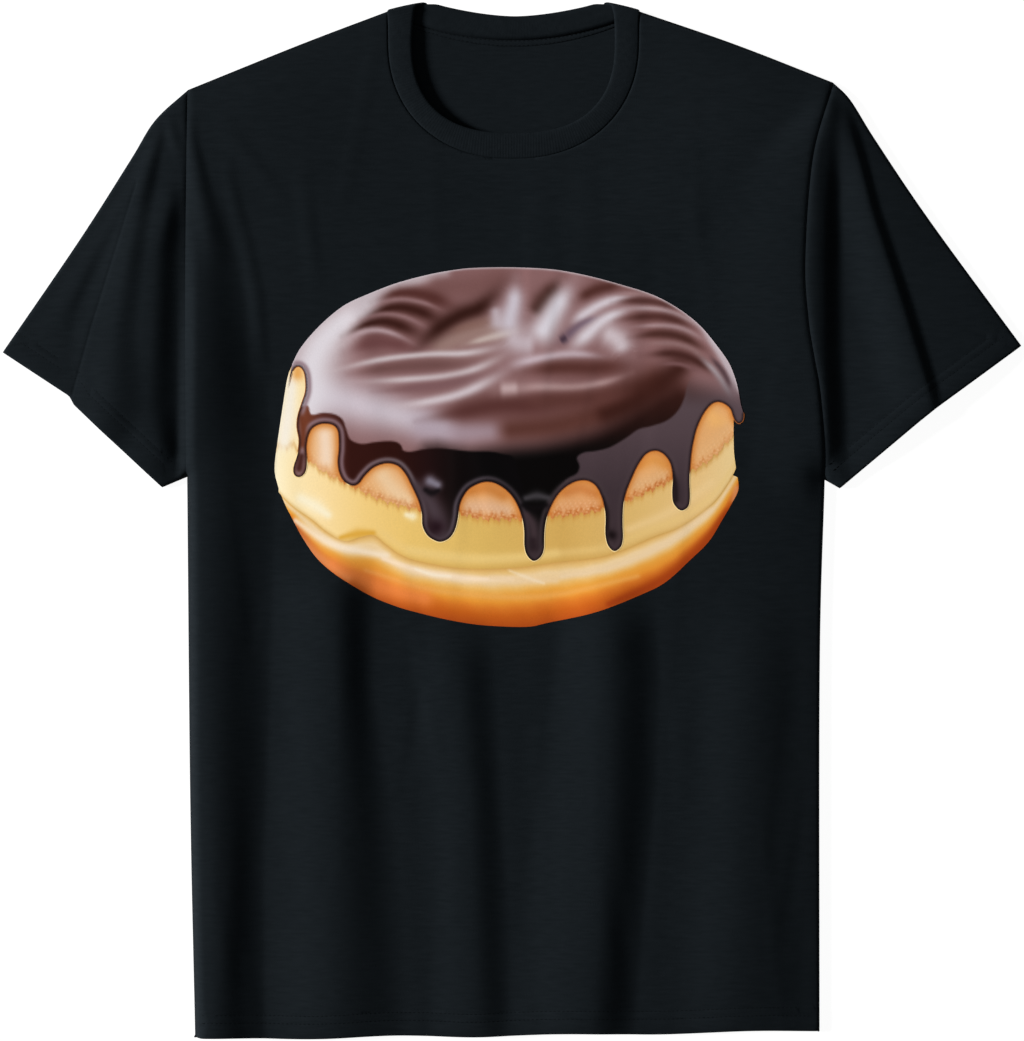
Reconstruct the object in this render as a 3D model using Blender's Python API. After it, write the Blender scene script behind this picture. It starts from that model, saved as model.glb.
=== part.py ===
"""A short-sleeved crew-neck T-shirt in black jersey, lying flat on its back with its print facing up.

Units are metres. X runs across the shirt, Y runs from the hem to the neck and Z is up.
The origin is on the floor, under the middle of the shirt. Left and right are as seen from above.
Each panel of cloth is a closed solid of its own: the back panel lies flat, the front panel lifts
off it in a few long folds, and each sleeve is a flattened open tube.
"""
import math
from collections import namedtuple

import bmesh
import bpy
import numpy as np
from mathutils import Vector
from mathutils.geometry import delaunay_2d_cdt

# Cloth
CLOTH = 0.0014                   # one layer of jersey
SEAM_GAP = 0.0005                # between two panels that are sewn edge to edge
EDGE_HEIGHT = 0.0046             # top of the upper layer where it meets the lower one
PUFF = 0.0072                    # how far the upper layer lifts off the lower one
NEAR_RISE = 0.032                # distance in which most of the lift is reached
FAR_RISE = 0.110                 # distance in which the rest of it is reached
FOLD_CLEAR = 0.012               # width beside a closed edge in which folds die away
HEM_DROP = 0.20                  # share of the lift that is lost at the hem
HEM_REACH = 0.070                # distance above the hem in which it is lost
NECK_SETTLE = 0.30               # share of the lift that is lost round the neck
NECK_NEAR = 0.090                # distance from the neck's middle up to which all of it is lost
NECK_FAR = 0.190                 # distance past which none is lost

# Lattice on which the panels are cut into triangles: folds run along Y, so it is long in Y
STEP_X = 0.0105
STEP_Y = 0.030

# Closed edges of the body and the sleeves, where upper and lower layers meet
NECK_LEFT = (-0.0855, 0.3480)
NECK_RIGHT = (0.0875, 0.3480)
SHOULDER_LEFT = (NECK_LEFT, (-0.1450, 0.3268), (-0.2225, 0.2955))
SHOULDER_RIGHT = (NECK_RIGHT, (0.1536, 0.3266), (0.2205, 0.3005))
OVERARM_LEFT = ((-0.2225, 0.2955), (-0.2450, 0.2745), (-0.2620, 0.2471), (-0.2970, 0.1922),
                (-0.3495, 0.1155))
OVERARM_RIGHT = ((0.2205, 0.3005), (0.2325, 0.2882), (0.2496, 0.2608), (0.2866, 0.2059),
                 (0.3495, 0.1200))
UNDERARM_LEFT = ((-0.2400, 0.0228), (-0.2229, 0.0300))
UNDERARM_RIGHT = ((0.2249, 0.0221), (0.2146, 0.0280))
SIDE_LEFT = ((-0.2229, 0.0300), (-0.2208, -0.1918), (-0.2174, -0.3546))
SIDE_RIGHT = ((0.2146, 0.0280), (0.2112, -0.1000), (0.2110, -0.3495))

# Seams that join each sleeve to the body, from shoulder to underarm
ARMHOLE_LEFT = ((-0.2225, 0.2955), (-0.2235, 0.1600), (-0.2229, 0.0300))
ARMHOLE_RIGHT = ((0.2205, 0.3005), (0.2057, 0.2491), (0.2002, 0.1790), (0.2043, 0.1223),
                 (0.2105, 0.0983), (0.2139, 0.0544), (0.2146, 0.0280))

# Open edges
CUFF_LEFT = ((-0.3495, 0.1155), (-0.3031, 0.0852), (-0.2997, 0.0791), (-0.2400, 0.0228))
CUFF_RIGHT = ((0.3495, 0.1200), (0.2894, 0.0763), (0.2784, 0.0674), (0.2249, 0.0221))
HEM_Y = -0.3521                  # height of the hem at the middle
HEM_TILT = 0.0125                # the hem climbs this much to the right
HEM_WAVE = 0.0008
HEM_WAVE_LENGTH = 0.123
HEM_WAVE_PEAK = -0.145
CORE_REACH = 0.006               # how far the tool that hollows a sleeve runs past its open ends

# Neck
NECK_MIDDLE_X = 0.0010
NECK_TURN_Y = 0.3290             # where the neckline turns from the sides into the scoop
SEAM_HALF_WIDTH = 0.0862
SEAM_DROP = 0.0812
SEAM_SQUARENESS = 2.2
OPENING_HALF_WIDTH = 0.0695
OPENING_DROP = 0.0634
OPENING_SQUARENESS = 2.5
BACK_SEAM_Y = 0.3300             # lowest point of the seam at the back of the neck
BACK_SEAM_RISE = 0.0180
BACK_TOP_Y = 0.3444              # lowest point of the rib's edge at the back
BACK_TOP_RISE = 0.0106
BACK_TOP_POWER = 2.5
PEAK_LEFT = (-0.0610, 0.3550)    # where the rib folds over, at either side of the neck
PEAK_RIGHT = (0.0650, 0.3550)
RIB_FOLD_HEIGHT = 0.0044         # middle of the rib's thickness at the fold
RIB_FOLD_REACH = 0.006
RIB_STAND = 0.0030               # how far the rib's free edge stands above its seam
RIB_STATIONS = 20
RIB_ROWS = 3

# Tape that covers the seam at the back of the neck
TAPE_MIDDLE_X = 0.0065
TAPE_HALF_WIDTH = 0.0535
TAPE_LOWER_Y = 0.3256
TAPE_LOWER_RISE = 0.0052
TAPE_THICKNESS = 0.0006

# Print on the chest
PRINT_MIDDLE = (-0.0024, 0.0506)
PRINT_HALF_WIDTH = 0.1600
PRINT_HALF_HEIGHT = 0.1238
PRINT_SQUARENESS = 2.25
PRINT_THICKNESS = 0.0004
PRINT_GAP = 0.0003               # between the cloth and the ink
PRINT_POINTS = 56

# Folds: each runs along the points of its crest, from (X, Y) to the widths of its two slopes
Crest = namedtuple("Crest", "x y left right")
Fold = namedtuple("Fold", "height fade crest")
FOLDS = (
    # Along the left edge, from the armhole down to the hem
    Fold(0.0080, 0.050, (Crest(-0.216, 0.262, 0.010, 0.016), Crest(-0.210, 0.170, 0.014, 0.024),
                         Crest(-0.208, 0.060, 0.014, 0.040), Crest(-0.208, -0.070, 0.014, 0.037),
                         Crest(-0.208, -0.210, 0.014, 0.034), Crest(-0.206, -0.360, 0.014, 0.034))),
    # Four long folds that open towards the hem
    Fold(0.0064, 0.080, (Crest(-0.122, -0.020, 0.046, 0.030), Crest(-0.121, -0.110, 0.050, 0.028),
                         Crest(-0.120, -0.226, 0.050, 0.042), Crest(-0.121, -0.360, 0.048, 0.054))),
    Fold(0.0038, 0.090, (Crest(-0.040, -0.060, 0.034, 0.028), Crest(-0.029, -0.190, 0.036, 0.024),
                         Crest(-0.024, -0.360, 0.038, 0.026))),
    Fold(0.0066, 0.090, (Crest(0.066, -0.030, 0.040, 0.032), Crest(0.067, -0.110, 0.042, 0.034),
                         Crest(0.066, -0.170, 0.048, 0.032), Crest(0.061, -0.260, 0.058, 0.028),
                         Crest(0.058, -0.360, 0.062, 0.024))),
    Fold(0.0038, 0.090, (Crest(0.166, -0.060, 0.036, 0.030), Crest(0.157, -0.240, 0.040, 0.048),
                         Crest(0.150, -0.360, 0.040, 0.056))),
    # Left sleeve, from the shoulder to the cuff
    Fold(0.0030, 0.045, (Crest(-0.248, 0.243, 0.016, 0.012), Crest(-0.261, 0.185, 0.024, 0.014),
                         Crest(-0.271, 0.130, 0.030, 0.018), Crest(-0.277, 0.082, 0.030, 0.022),
                         Crest(-0.280, 0.050, 0.020, 0.020))),
    Fold(0.0046, 0.045, (Crest(-0.234, 0.245, 0.020, 0.010), Crest(-0.243, 0.182, 0.036, 0.017),
                         Crest(-0.246, 0.120, 0.046, 0.020), Crest(-0.243, 0.080, 0.044, 0.019),
                         Crest(-0.234, 0.035, 0.030, 0.011))),
    # Right sleeve, from the shoulder to the cuff
    Fold(0.0034, 0.040, (Crest(0.228, 0.283, 0.016, 0.008), Crest(0.237, 0.247, 0.026, 0.010),
                         Crest(0.245, 0.213, 0.030, 0.010), Crest(0.266, 0.148, 0.034, 0.010),
                         Crest(0.284, 0.089, 0.034, 0.010), Crest(0.287, 0.075, 0.030, 0.010))),
    Fold(0.0044, 0.045, (Crest(0.218, 0.285, 0.010, 0.012), Crest(0.213, 0.247, 0.012, 0.014),
                         Crest(0.212, 0.175, 0.012, 0.018), Crest(0.212, 0.115, 0.012, 0.018),
                         Crest(0.212, 0.080, 0.012, 0.020), Crest(0.214, 0.020, 0.012, 0.020))),
)

# Colours: linear red, green, blue, with roughness
BLACK_JERSEY = ((0.0080, 0.0105, 0.0125), 0.92)
BLACK_RIB = ((0.0072, 0.0092, 0.0110), 0.92)
TAPE_JERSEY = ((0.0086, 0.0110, 0.0130), 0.90)
PRINT_INK = ((0.0900, 0.0420, 0.0240), 0.60)


def start_empty():
    """Remove every object that the scene starts with."""
    for item in list(bpy.data.objects):
        bpy.data.objects.remove(item, do_unlink=True)


def smooth_line(points, cuts=8):
    """Curve through a few points (Catmull-Rom), with each span cut into equal parts."""
    held = [np.array(point) for point in points]
    held = [2 * held[0] - held[1]] + held + [2 * held[-1] - held[-2]]
    line = []
    for before, start, end, after in zip(held, held[1:], held[2:], held[3:]):
        for cut in range(cuts):
            t = cut / cuts
            line.append(0.5 * (2 * start + (end - before) * t
                               + (2 * before - 5 * start + 4 * end - after) * t * t
                               + (3 * start - before - 3 * end + after) * t ** 3))
    line.append(held[-2])
    return [tuple(float(value) for value in point) for point in line]


def lattice_line(points):
    """The same line with points as far apart as the lattice's."""
    line = [points[0]]
    for start, end in zip(points, points[1:]):
        parts = math.ceil(max(abs(end[0] - start[0]) / STEP_X, abs(end[1] - start[1]) / STEP_Y, 1e-6))
        for part in range(1, parts + 1):
            share = part / parts
            line.append((start[0] + (end[0] - start[0]) * share, start[1] + (end[1] - start[1]) * share))
    return line


def thinned(points):
    """Drop points of a line that stand closer than half a lattice step to the last one kept."""
    kept = [points[0]]
    for point in points[1:-1]:
        across = abs(point[0] - kept[-1][0]) / STEP_X
        along = abs(point[1] - kept[-1][1]) / STEP_Y
        if max(across, along) > 0.5:
            kept.append(point)
    return kept + [points[-1]]


def curved_edge(points):
    """A curved edge through a few points, at the spacing of the lattice."""
    return thinned(lattice_line(smooth_line(points)))


def moved_sideways(points, distance):
    """A line moved to its left, as seen when walking along it, by a distance."""
    moved = []
    for index, (x, y) in enumerate(points):
        before = points[max(index - 1, 0)]
        after = points[min(index + 1, len(points) - 1)]
        along = Vector((after[0] - before[0], after[1] - before[1])).normalized()
        moved.append((x - along.y * distance, y + along.x * distance))
    return moved


def distance_to_line(x, y, line):
    """Shortest distance from points to a line of straight pieces."""
    best = np.full(np.shape(x), np.inf)
    for start, end in zip(line, line[1:]):
        run = np.subtract(end, start)
        share = ((x - start[0]) * run[0] + (y - start[1]) * run[1]) / (run @ run)
        share = np.clip(share, 0, 1)
        best = np.minimum(best, np.hypot(x - start[0] - share * run[0], y - start[1] - share * run[1]))
    return best


CLOSED_EDGES = (
    smooth_line(SIDE_LEFT)[::-1] + [UNDERARM_LEFT[0]],
    smooth_line(SIDE_RIGHT)[::-1] + [UNDERARM_RIGHT[0]],
    smooth_line(SHOULDER_LEFT) + smooth_line(OVERARM_LEFT)[1:],
    smooth_line(SHOULDER_RIGHT) + smooth_line(OVERARM_RIGHT)[1:],
)


def edge_distance(x, y):
    """Smooth measure of how far a point is from the closed edges of the shirt."""
    closeness = 0
    for line in CLOSED_EDGES:
        closeness = closeness + np.maximum(distance_to_line(x, y, line), 1e-5) ** -3.0
    return closeness ** (-1 / 3)


def hem_y(x):
    """Where the hem lies, from one side of the body to the other."""
    wave = np.cos((x - HEM_WAVE_PEAK) / HEM_WAVE_LENGTH * math.tau)
    return HEM_Y + HEM_TILT * x - HEM_WAVE * wave


def fold_height(fold, x, y):
    """Height that one fold adds."""
    crest = sorted(fold.crest, key=lambda point: point.y)
    heights = [point.y for point in crest]
    middle = np.interp(y, heights, [point.x for point in crest])
    left = np.interp(y, heights, [point.left for point in crest])
    right = np.interp(y, heights, [point.right for point in crest])
    across = np.where(x < middle, (middle - x) / left, (x - middle) / right)
    profile = np.cos(np.clip(across, 0, 1) * math.pi / 2) ** 2
    above = np.clip((heights[-1] + fold.fade / 2 - y) / fold.fade, 0, 1)
    below = np.clip((y - heights[0] + fold.fade / 2) / fold.fade, 0, 1)
    return fold.height * profile * above ** 2 * (3 - 2 * above) * below ** 2 * (3 - 2 * below)


def cloth_height(x, y):
    """Height of the upper layer's outer face above the floor."""
    edge = edge_distance(x, y)
    rise = 0.62 * (1 - np.exp(-edge / NEAR_RISE)) + 0.38 * (1 - np.exp(-edge / FAR_RISE))
    over_hem = np.clip((y - hem_y(x)) / HEM_REACH, 0, 1)
    lift = PUFF * rise * (1 - HEM_DROP * (1 - over_hem) ** 2)
    from_neck = np.hypot(x - NECK_MIDDLE_X, y - NECK_LEFT[1])
    clear = np.clip((from_neck - NECK_NEAR) / (NECK_FAR - NECK_NEAR), 0, 1)
    lift = lift * (1 - NECK_SETTLE * (1 - clear * clear * (3 - 2 * clear)))
    folds = sum(fold_height(fold, x, y) for fold in FOLDS)
    return EDGE_HEIGHT + lift + folds * (1 - np.exp(-(edge / FOLD_CLEAR) ** 2))


def inside_outline(x, y, outline):
    """Whether points lie inside a closed outline."""
    inside = np.zeros(np.shape(x), dtype=bool)
    for (x0, y0), (x1, y1) in zip(outline, outline[1:] + outline[:1]):
        crosses = (y0 > y) != (y1 > y)
        reach = (x1 - x0) * (y - y0) / (y1 - y0 if y1 != y0 else 1) + x0
        inside ^= crosses & (x < reach)
    return inside


def lattice_inside(outline):
    """Lattice points inside an outline and not too close to it, with every other row set over by half."""
    xs = np.arange(-36, 37) * STEP_X
    ys = np.arange(-13, 14) * STEP_Y
    x, y = np.meshgrid(xs, ys)
    x[::2] += STEP_X / 2
    x, y = x.ravel(), y.ravel()
    stretch = STEP_X / STEP_Y
    squeezed = [(px, py * stretch) for px, py in outline + outline[:1]]
    clear = distance_to_line(x, y * stretch, squeezed) > 0.45 * STEP_X
    kept = inside_outline(x, y, outline) & clear
    return list(zip(x[kept].tolist(), y[kept].tolist()))


def slab(name, outline, bottom, top):
    """Closed solid over an outline, between two heights that may vary from place to place."""
    stretch = STEP_X / STEP_Y
    flat = [Vector((x, y * stretch)) for x, y in outline + lattice_inside(outline)]
    points, _, triangles, _, _, _ = delaunay_2d_cdt(flat, [], [list(range(len(outline)))], 1, 1e-7)
    x = np.array([point.x for point in points])
    y = np.array([point.y / stretch for point in points])
    mesh = bmesh.new()
    layers = []
    for height in (bottom, top):
        z = height(x, y) + np.zeros(len(x))
        layers.append([mesh.verts.new(place) for place in zip(x, y, z)])
    for corners in triangles:
        mesh.faces.new([layers[1][corner] for corner in corners])
        mesh.faces.new([layers[0][corner] for corner in reversed(corners)])
    for edge in [edge for edge in mesh.edges if edge.is_boundary and edge.verts[0] in set(layers[1])]:
        first, second = (layers[1].index(corner) for corner in edge.verts)
        mesh.faces.new((layers[1][first], layers[1][second], layers[0][second], layers[0][first]))
    bmesh.ops.recalc_face_normals(mesh, faces=mesh.faces)
    return place_object(name, mesh)


def place_object(name, mesh):
    """Turn a bmesh into an object of the scene."""
    data = bpy.data.meshes.new(name)
    mesh.to_mesh(data)
    mesh.free()
    item = bpy.data.objects.new(name, data)
    bpy.context.collection.objects.link(item)
    return item


def finished(item, name, look):
    """Give an object its own material and smooth shading."""
    colour, roughness = look
    material = bpy.data.materials.new(name)
    material.use_nodes = True
    shader = material.node_tree.nodes["Principled BSDF"]
    shader.inputs["Base Color"].default_value = (*colour, 1)
    shader.inputs["Roughness"].default_value = roughness
    shader.inputs["Metallic"].default_value = 0
    item.data.materials.append(material)
    item.data.shade_smooth()
    item.data.set_sharp_from_angle(angle=math.radians(50))
    return item


def scoop(half_width, drop, squareness, count):
    """Front neck curve from left to right: a rounded scoop below the shoulders."""
    line = []
    for index in range(count + 1):
        angle = math.pi * (1 - index / count)
        across = abs(math.cos(angle)) ** (2 / squareness) * math.copysign(1, math.cos(angle))
        down = abs(math.sin(angle)) ** (2 / squareness)
        line.append((NECK_MIDDLE_X + half_width * across, NECK_TURN_Y - drop * down))
    return line


def back_seam_y(x):
    """Where the rib is sewn to the back of the neck."""
    return BACK_SEAM_Y + BACK_SEAM_RISE * ((x - NECK_MIDDLE_X) / SEAM_HALF_WIDTH) ** 2


def back_neck(count):
    """Neck edge of the back panel, from left to right."""
    xs = np.linspace(NECK_LEFT[0] - SEAM_GAP, NECK_RIGHT[0] + SEAM_GAP, count + 1)
    return [(float(x), float(back_seam_y(x)) - SEAM_GAP) for x in xs]


def hem_line():
    """Hem from left to right."""
    count = math.ceil((SIDE_RIGHT[-1][0] - SIDE_LEFT[-1][0]) / STEP_X)
    xs = np.linspace(SIDE_LEFT[-1][0], SIDE_RIGHT[-1][0], count + 1)
    return [(float(x), float(hem_y(x))) for x in xs]


def body_outline(neck):
    """Outline of a body panel, anticlockwise from the left end of the hem."""
    right_side = curved_edge(SIDE_RIGHT)[::-1] + curved_edge(ARMHOLE_RIGHT)[::-1][1:]
    right_shoulder = curved_edge(SHOULDER_RIGHT)[::-1][1:-1]
    left_shoulder = curved_edge(SHOULDER_LEFT)[1:]
    left_side = curved_edge(ARMHOLE_LEFT)[1:] + curved_edge(SIDE_LEFT)[1:-1]
    return hem_line()[:-1] + right_side + right_shoulder + neck[::-1] + left_shoulder + left_side


def make_back():
    """Back panel, flat on the floor."""
    panel = slab("back", body_outline(back_neck(16)), lambda x, y: 0 * x, lambda x, y: 0 * x + CLOTH)
    return finished(panel, "back_jersey", BLACK_JERSEY)


def front_outline():
    """Outline of the front panel, with its deep scoop at the neck."""
    curve = scoop(SEAM_HALF_WIDTH + SEAM_GAP, SEAM_DROP + SEAM_GAP, SEAM_SQUARENESS, 24)
    top_left = (NECK_LEFT[0] - SEAM_GAP, NECK_LEFT[1] - SEAM_GAP)
    top_right = (NECK_RIGHT[0] + SEAM_GAP, NECK_RIGHT[1] - SEAM_GAP)
    return body_outline([top_left] + curve + [top_right])


def make_front():
    """Front panel, lifted off the back panel in long folds."""
    panel = slab("front", front_outline(), lambda x, y: cloth_height(x, y) - CLOTH, cloth_height)
    return finished(panel, "front_jersey", BLACK_JERSEY)


def sleeve_outline(overarm, cuff, underarm, armhole, away):
    """Outline of a sleeve, anticlockwise; away is -1 for the left sleeve and 1 for the right."""
    seam = curved_edge(armhole)
    seam = [(x + away * SEAM_GAP, y) for x, y in seam]
    line = curved_edge(overarm)[1:] + lattice_line(list(cuff))[1:] + lattice_line(list(underarm))[1:-1]
    line = line + seam[::-1]
    return line if away < 0 else line[::-1]


def sleeve_core(overarm, cuff, underarm, armhole, away):
    """Outline of a sleeve's inside: one layer in from its closed edges, and past its open ends."""
    over = moved_sideways(curved_edge(overarm), -away * CLOTH)
    under = moved_sideways(list(underarm), -away * CLOTH)
    along = Vector((cuff[-1][0] - cuff[0][0], cuff[-1][1] - cuff[0][1])).normalized()
    push = Vector((-along.y * away, along.x * away)) * CORE_REACH
    mouth = [(x + push.x, y + push.y) for x, y in lattice_line(list(cuff))]
    body_side = [(x - away * CORE_REACH, y) for x, y in curved_edge(armhole)]
    body_side = [(x, y) for x, y in body_side if under[-1][1] + STEP_X < y < over[0][1] - STEP_X]
    start = (over[0][0] - away * CORE_REACH, over[0][1])
    end = (under[-1][0] - away * CORE_REACH, under[-1][1])
    over_tip = (over[-1][0] + push.x, over[-1][1] + push.y)
    under_tip = (under[0][0] + push.x, under[0][1] + push.y)
    line = [start] + over + [over_tip] + mouth[1:-1] + [under_tip] + under + [end] + body_side[::-1]
    return line if away < 0 else line[::-1]


def cut_by(item, tool, operation):
    """Cut an object by another one, which is only a tool."""
    tool.hide_render = True
    tool.display_type = "WIRE"
    cut = item.modifiers.new(tool.name, "BOOLEAN")
    cut.operation = operation
    cut.object = tool


def make_sleeve(name, overarm, cuff, underarm, armhole, away):
    """Sleeve: a flattened tube, open at the cuff and where it joins the body."""
    shape = (overarm, cuff, underarm, armhole, away)
    sleeve = slab(name, sleeve_outline(*shape), lambda x, y: 0 * x, cloth_height)
    core = slab(name + "_inside", sleeve_core(*shape), lambda x, y: 0 * x + CLOTH,
                lambda x, y: cloth_height(x, y) - CLOTH)
    cut_by(sleeve, core, "DIFFERENCE")
    return finished(sleeve, name + "_jersey", BLACK_JERSEY)


def rib_height(place, level):
    """Height of the middle of the rib, which bends to the level of the fold at either end."""
    ends = (NECK_LEFT, PEAK_LEFT), (NECK_RIGHT, PEAK_RIGHT)
    nearest = min(float(distance_to_line(np.float64(place[0]), np.float64(place[1]), end)) for end in ends)
    return level + (RIB_FOLD_HEIGHT - level) * math.exp(-nearest / RIB_FOLD_REACH)


def rib_stations():
    """Pairs of places, on the seam and on the free edge, once round the neck."""
    seam = scoop(SEAM_HALF_WIDTH, SEAM_DROP, SEAM_SQUARENESS, RIB_STATIONS)
    free = scoop(OPENING_HALF_WIDTH, OPENING_DROP, OPENING_SQUARENESS, RIB_STATIONS)
    seam = [NECK_LEFT, (seam[0][0], 0.3400)] + seam + [(seam[-1][0], 0.3400)]
    free = [PEAK_LEFT, (free[0][0] + 0.0022, 0.3480)] + free + [(free[-1][0] - 0.0022, 0.3480)]
    stations = []
    for outer, inner in zip(seam, free):
        seam_level = float(cloth_height(np.float64(outer[0]), np.float64(outer[1]))) - CLOTH / 2
        stations.append(((*outer, rib_height(outer, seam_level)),
                         (*inner, rib_height(inner, seam_level + RIB_STAND))))
    for index in range(RIB_STATIONS + 1):
        share = index / RIB_STATIONS
        outer_x = NECK_RIGHT[0] + (NECK_LEFT[0] - NECK_RIGHT[0]) * share
        inner_x = PEAK_RIGHT[0] + (PEAK_LEFT[0] - PEAK_RIGHT[0]) * share
        half_span = (PEAK_RIGHT[0] - PEAK_LEFT[0]) / 2
        away = abs(inner_x - (PEAK_RIGHT[0] + PEAK_LEFT[0]) / 2) / half_span
        outer = (outer_x, float(back_seam_y(outer_x)))
        inner = (inner_x, BACK_TOP_Y + BACK_TOP_RISE * away ** BACK_TOP_POWER)
        if index in (0, RIB_STATIONS):
            outer = NECK_RIGHT if index == 0 else NECK_LEFT
        stations.append(((*outer, rib_height(outer, CLOTH / 2)), (*inner, rib_height(inner, CLOTH / 2))))
    return stations[:-1]


def make_collar():
    """Rib collar: one band round the neck, folded at the shoulders."""
    mesh = bmesh.new()
    rows = []
    for outer, inner in rib_stations():
        span = Vector(inner) - Vector(outer)
        rows.append([mesh.verts.new(Vector(outer) + span * row / RIB_ROWS) for row in range(RIB_ROWS + 1)])
    for here, there in zip(rows, rows[1:] + rows[:1]):
        for row in range(RIB_ROWS):
            mesh.faces.new((here[row], there[row], there[row + 1], here[row + 1]))
    bmesh.ops.triangulate(mesh, faces=mesh.faces)
    collar = place_object("collar", mesh)
    thick = collar.modifiers.new("thickness", "SOLIDIFY")
    thick.thickness = CLOTH
    thick.offset = 0
    return finished(collar, "collar_rib", BLACK_RIB)


def make_neck_tape():
    """Tape over the seam at the back of the neck, on the inner face of the back panel."""
    xs = np.linspace(TAPE_MIDDLE_X - TAPE_HALF_WIDTH, TAPE_MIDDLE_X + TAPE_HALF_WIDTH, 13)
    reach = (xs - TAPE_MIDDLE_X) / TAPE_HALF_WIDTH
    lower = list(zip(xs.tolist(), (TAPE_LOWER_Y + TAPE_LOWER_RISE * reach ** 2).tolist()))
    upper = list(zip(xs.tolist(), (back_seam_y(xs) - 2 * SEAM_GAP).tolist()))
    floor = CLOTH + SEAM_GAP
    tape = slab("neck_tape", lower + upper[::-1], lambda x, y: 0 * x + floor,
                lambda x, y: 0 * x + floor + TAPE_THICKNESS)
    return finished(tape, "tape_jersey", TAPE_JERSEY)


def make_print():
    """Layer of ink on the chest, which follows the front panel's folds."""
    outline = []
    for index in range(PRINT_POINTS):
        angle = math.tau * index / PRINT_POINTS
        across = abs(math.cos(angle)) ** (2 / PRINT_SQUARENESS) * math.copysign(1, math.cos(angle))
        up = abs(math.sin(angle)) ** (2 / PRINT_SQUARENESS) * math.copysign(1, math.sin(angle))
        outline.append((PRINT_MIDDLE[0] + PRINT_HALF_WIDTH * across,
                        PRINT_MIDDLE[1] + PRINT_HALF_HEIGHT * up))
    ink = slab("print", front_outline(), lambda x, y: cloth_height(x, y) + PRINT_GAP,
               lambda x, y: cloth_height(x, y) + PRINT_GAP + PRINT_THICKNESS)
    shape = slab("print_shape", outline, lambda x, y: 0 * x, lambda x, y: 0 * x + 3 * PUFF)
    cut_by(ink, shape, "INTERSECT")
    return finished(ink, "print_ink", PRINT_INK)


def main():
    """Build the shirt, panel by panel."""
    start_empty()
    make_back()
    make_front()
    make_sleeve("sleeve_left", OVERARM_LEFT, CUFF_LEFT, UNDERARM_LEFT, ARMHOLE_LEFT, -1)
    make_sleeve("sleeve_right", OVERARM_RIGHT, CUFF_RIGHT, UNDERARM_RIGHT, ARMHOLE_RIGHT, 1)
    make_collar()
    make_neck_tape()
    make_print()


main()
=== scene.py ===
"""A black crew-neck T-shirt that lies flat with its printed front up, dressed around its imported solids.

Units are metres: X runs across the shirt, Y from the hem to the neck and Z up, from the floor.
"""
import logging
import math
from dataclasses import dataclass
from enum import Enum
from typing import Callable

import bpy
import numpy as np
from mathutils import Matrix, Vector
from mathutils.geometry import delaunay_2d_cdt


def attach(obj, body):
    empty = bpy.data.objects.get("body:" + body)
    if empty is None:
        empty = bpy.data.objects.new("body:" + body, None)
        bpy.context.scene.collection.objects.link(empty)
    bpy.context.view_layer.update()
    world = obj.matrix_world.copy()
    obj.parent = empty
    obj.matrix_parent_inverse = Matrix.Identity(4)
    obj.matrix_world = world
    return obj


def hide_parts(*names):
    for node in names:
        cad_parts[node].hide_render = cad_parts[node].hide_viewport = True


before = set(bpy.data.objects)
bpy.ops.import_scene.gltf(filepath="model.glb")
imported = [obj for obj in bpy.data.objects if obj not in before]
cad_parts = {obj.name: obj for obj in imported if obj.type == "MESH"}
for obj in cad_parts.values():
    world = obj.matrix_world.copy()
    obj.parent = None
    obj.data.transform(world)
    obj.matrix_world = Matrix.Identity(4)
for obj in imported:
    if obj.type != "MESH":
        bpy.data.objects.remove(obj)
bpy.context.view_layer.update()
LOG = logging.getLogger("t_shirt")
BODY = "root"

Array = np.ndarray
Point = tuple[float, float]
Colour = tuple[float, float, float]
Socket = bpy.types.NodeSocket
SAME_PLACE = 1e-6


class Side(Enum):
    """Side of the shirt, as seen from above, with the sign of X there."""

    LEFT = -1
    RIGHT = 1


class Layer(Enum):
    """Which of the two layers of a flattened tube a surface belongs to."""

    UPPER = "upper"
    LOWER = "lower"


def smooth_step(share: Array) -> Array:
    """Ease from 0 to 1 as share goes from 0 to 1."""
    held = np.clip(share, 0, 1)
    return held * held * (3 - 2 * held)


def bell(distance: Array, width: float) -> Array:
    """Bell curve that is 1 at no distance and small past its width."""
    return np.exp(-((distance / width) ** 2))


def curve_point(before: Array, start: Array, end: Array, after: Array, t: float) -> Array:
    """Point of a smooth curve through four held points (Catmull-Rom).

    Args:
        before, start, end, after: four held points in a row.
        t: share of the way from start to end.

    Returns:
        The point.
    """
    return 0.5 * (2 * start + (end - before) * t
                  + (2 * before - 5 * start + 4 * end - after) * t * t
                  + (3 * start - before - 3 * end + after) * t ** 3)


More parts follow.
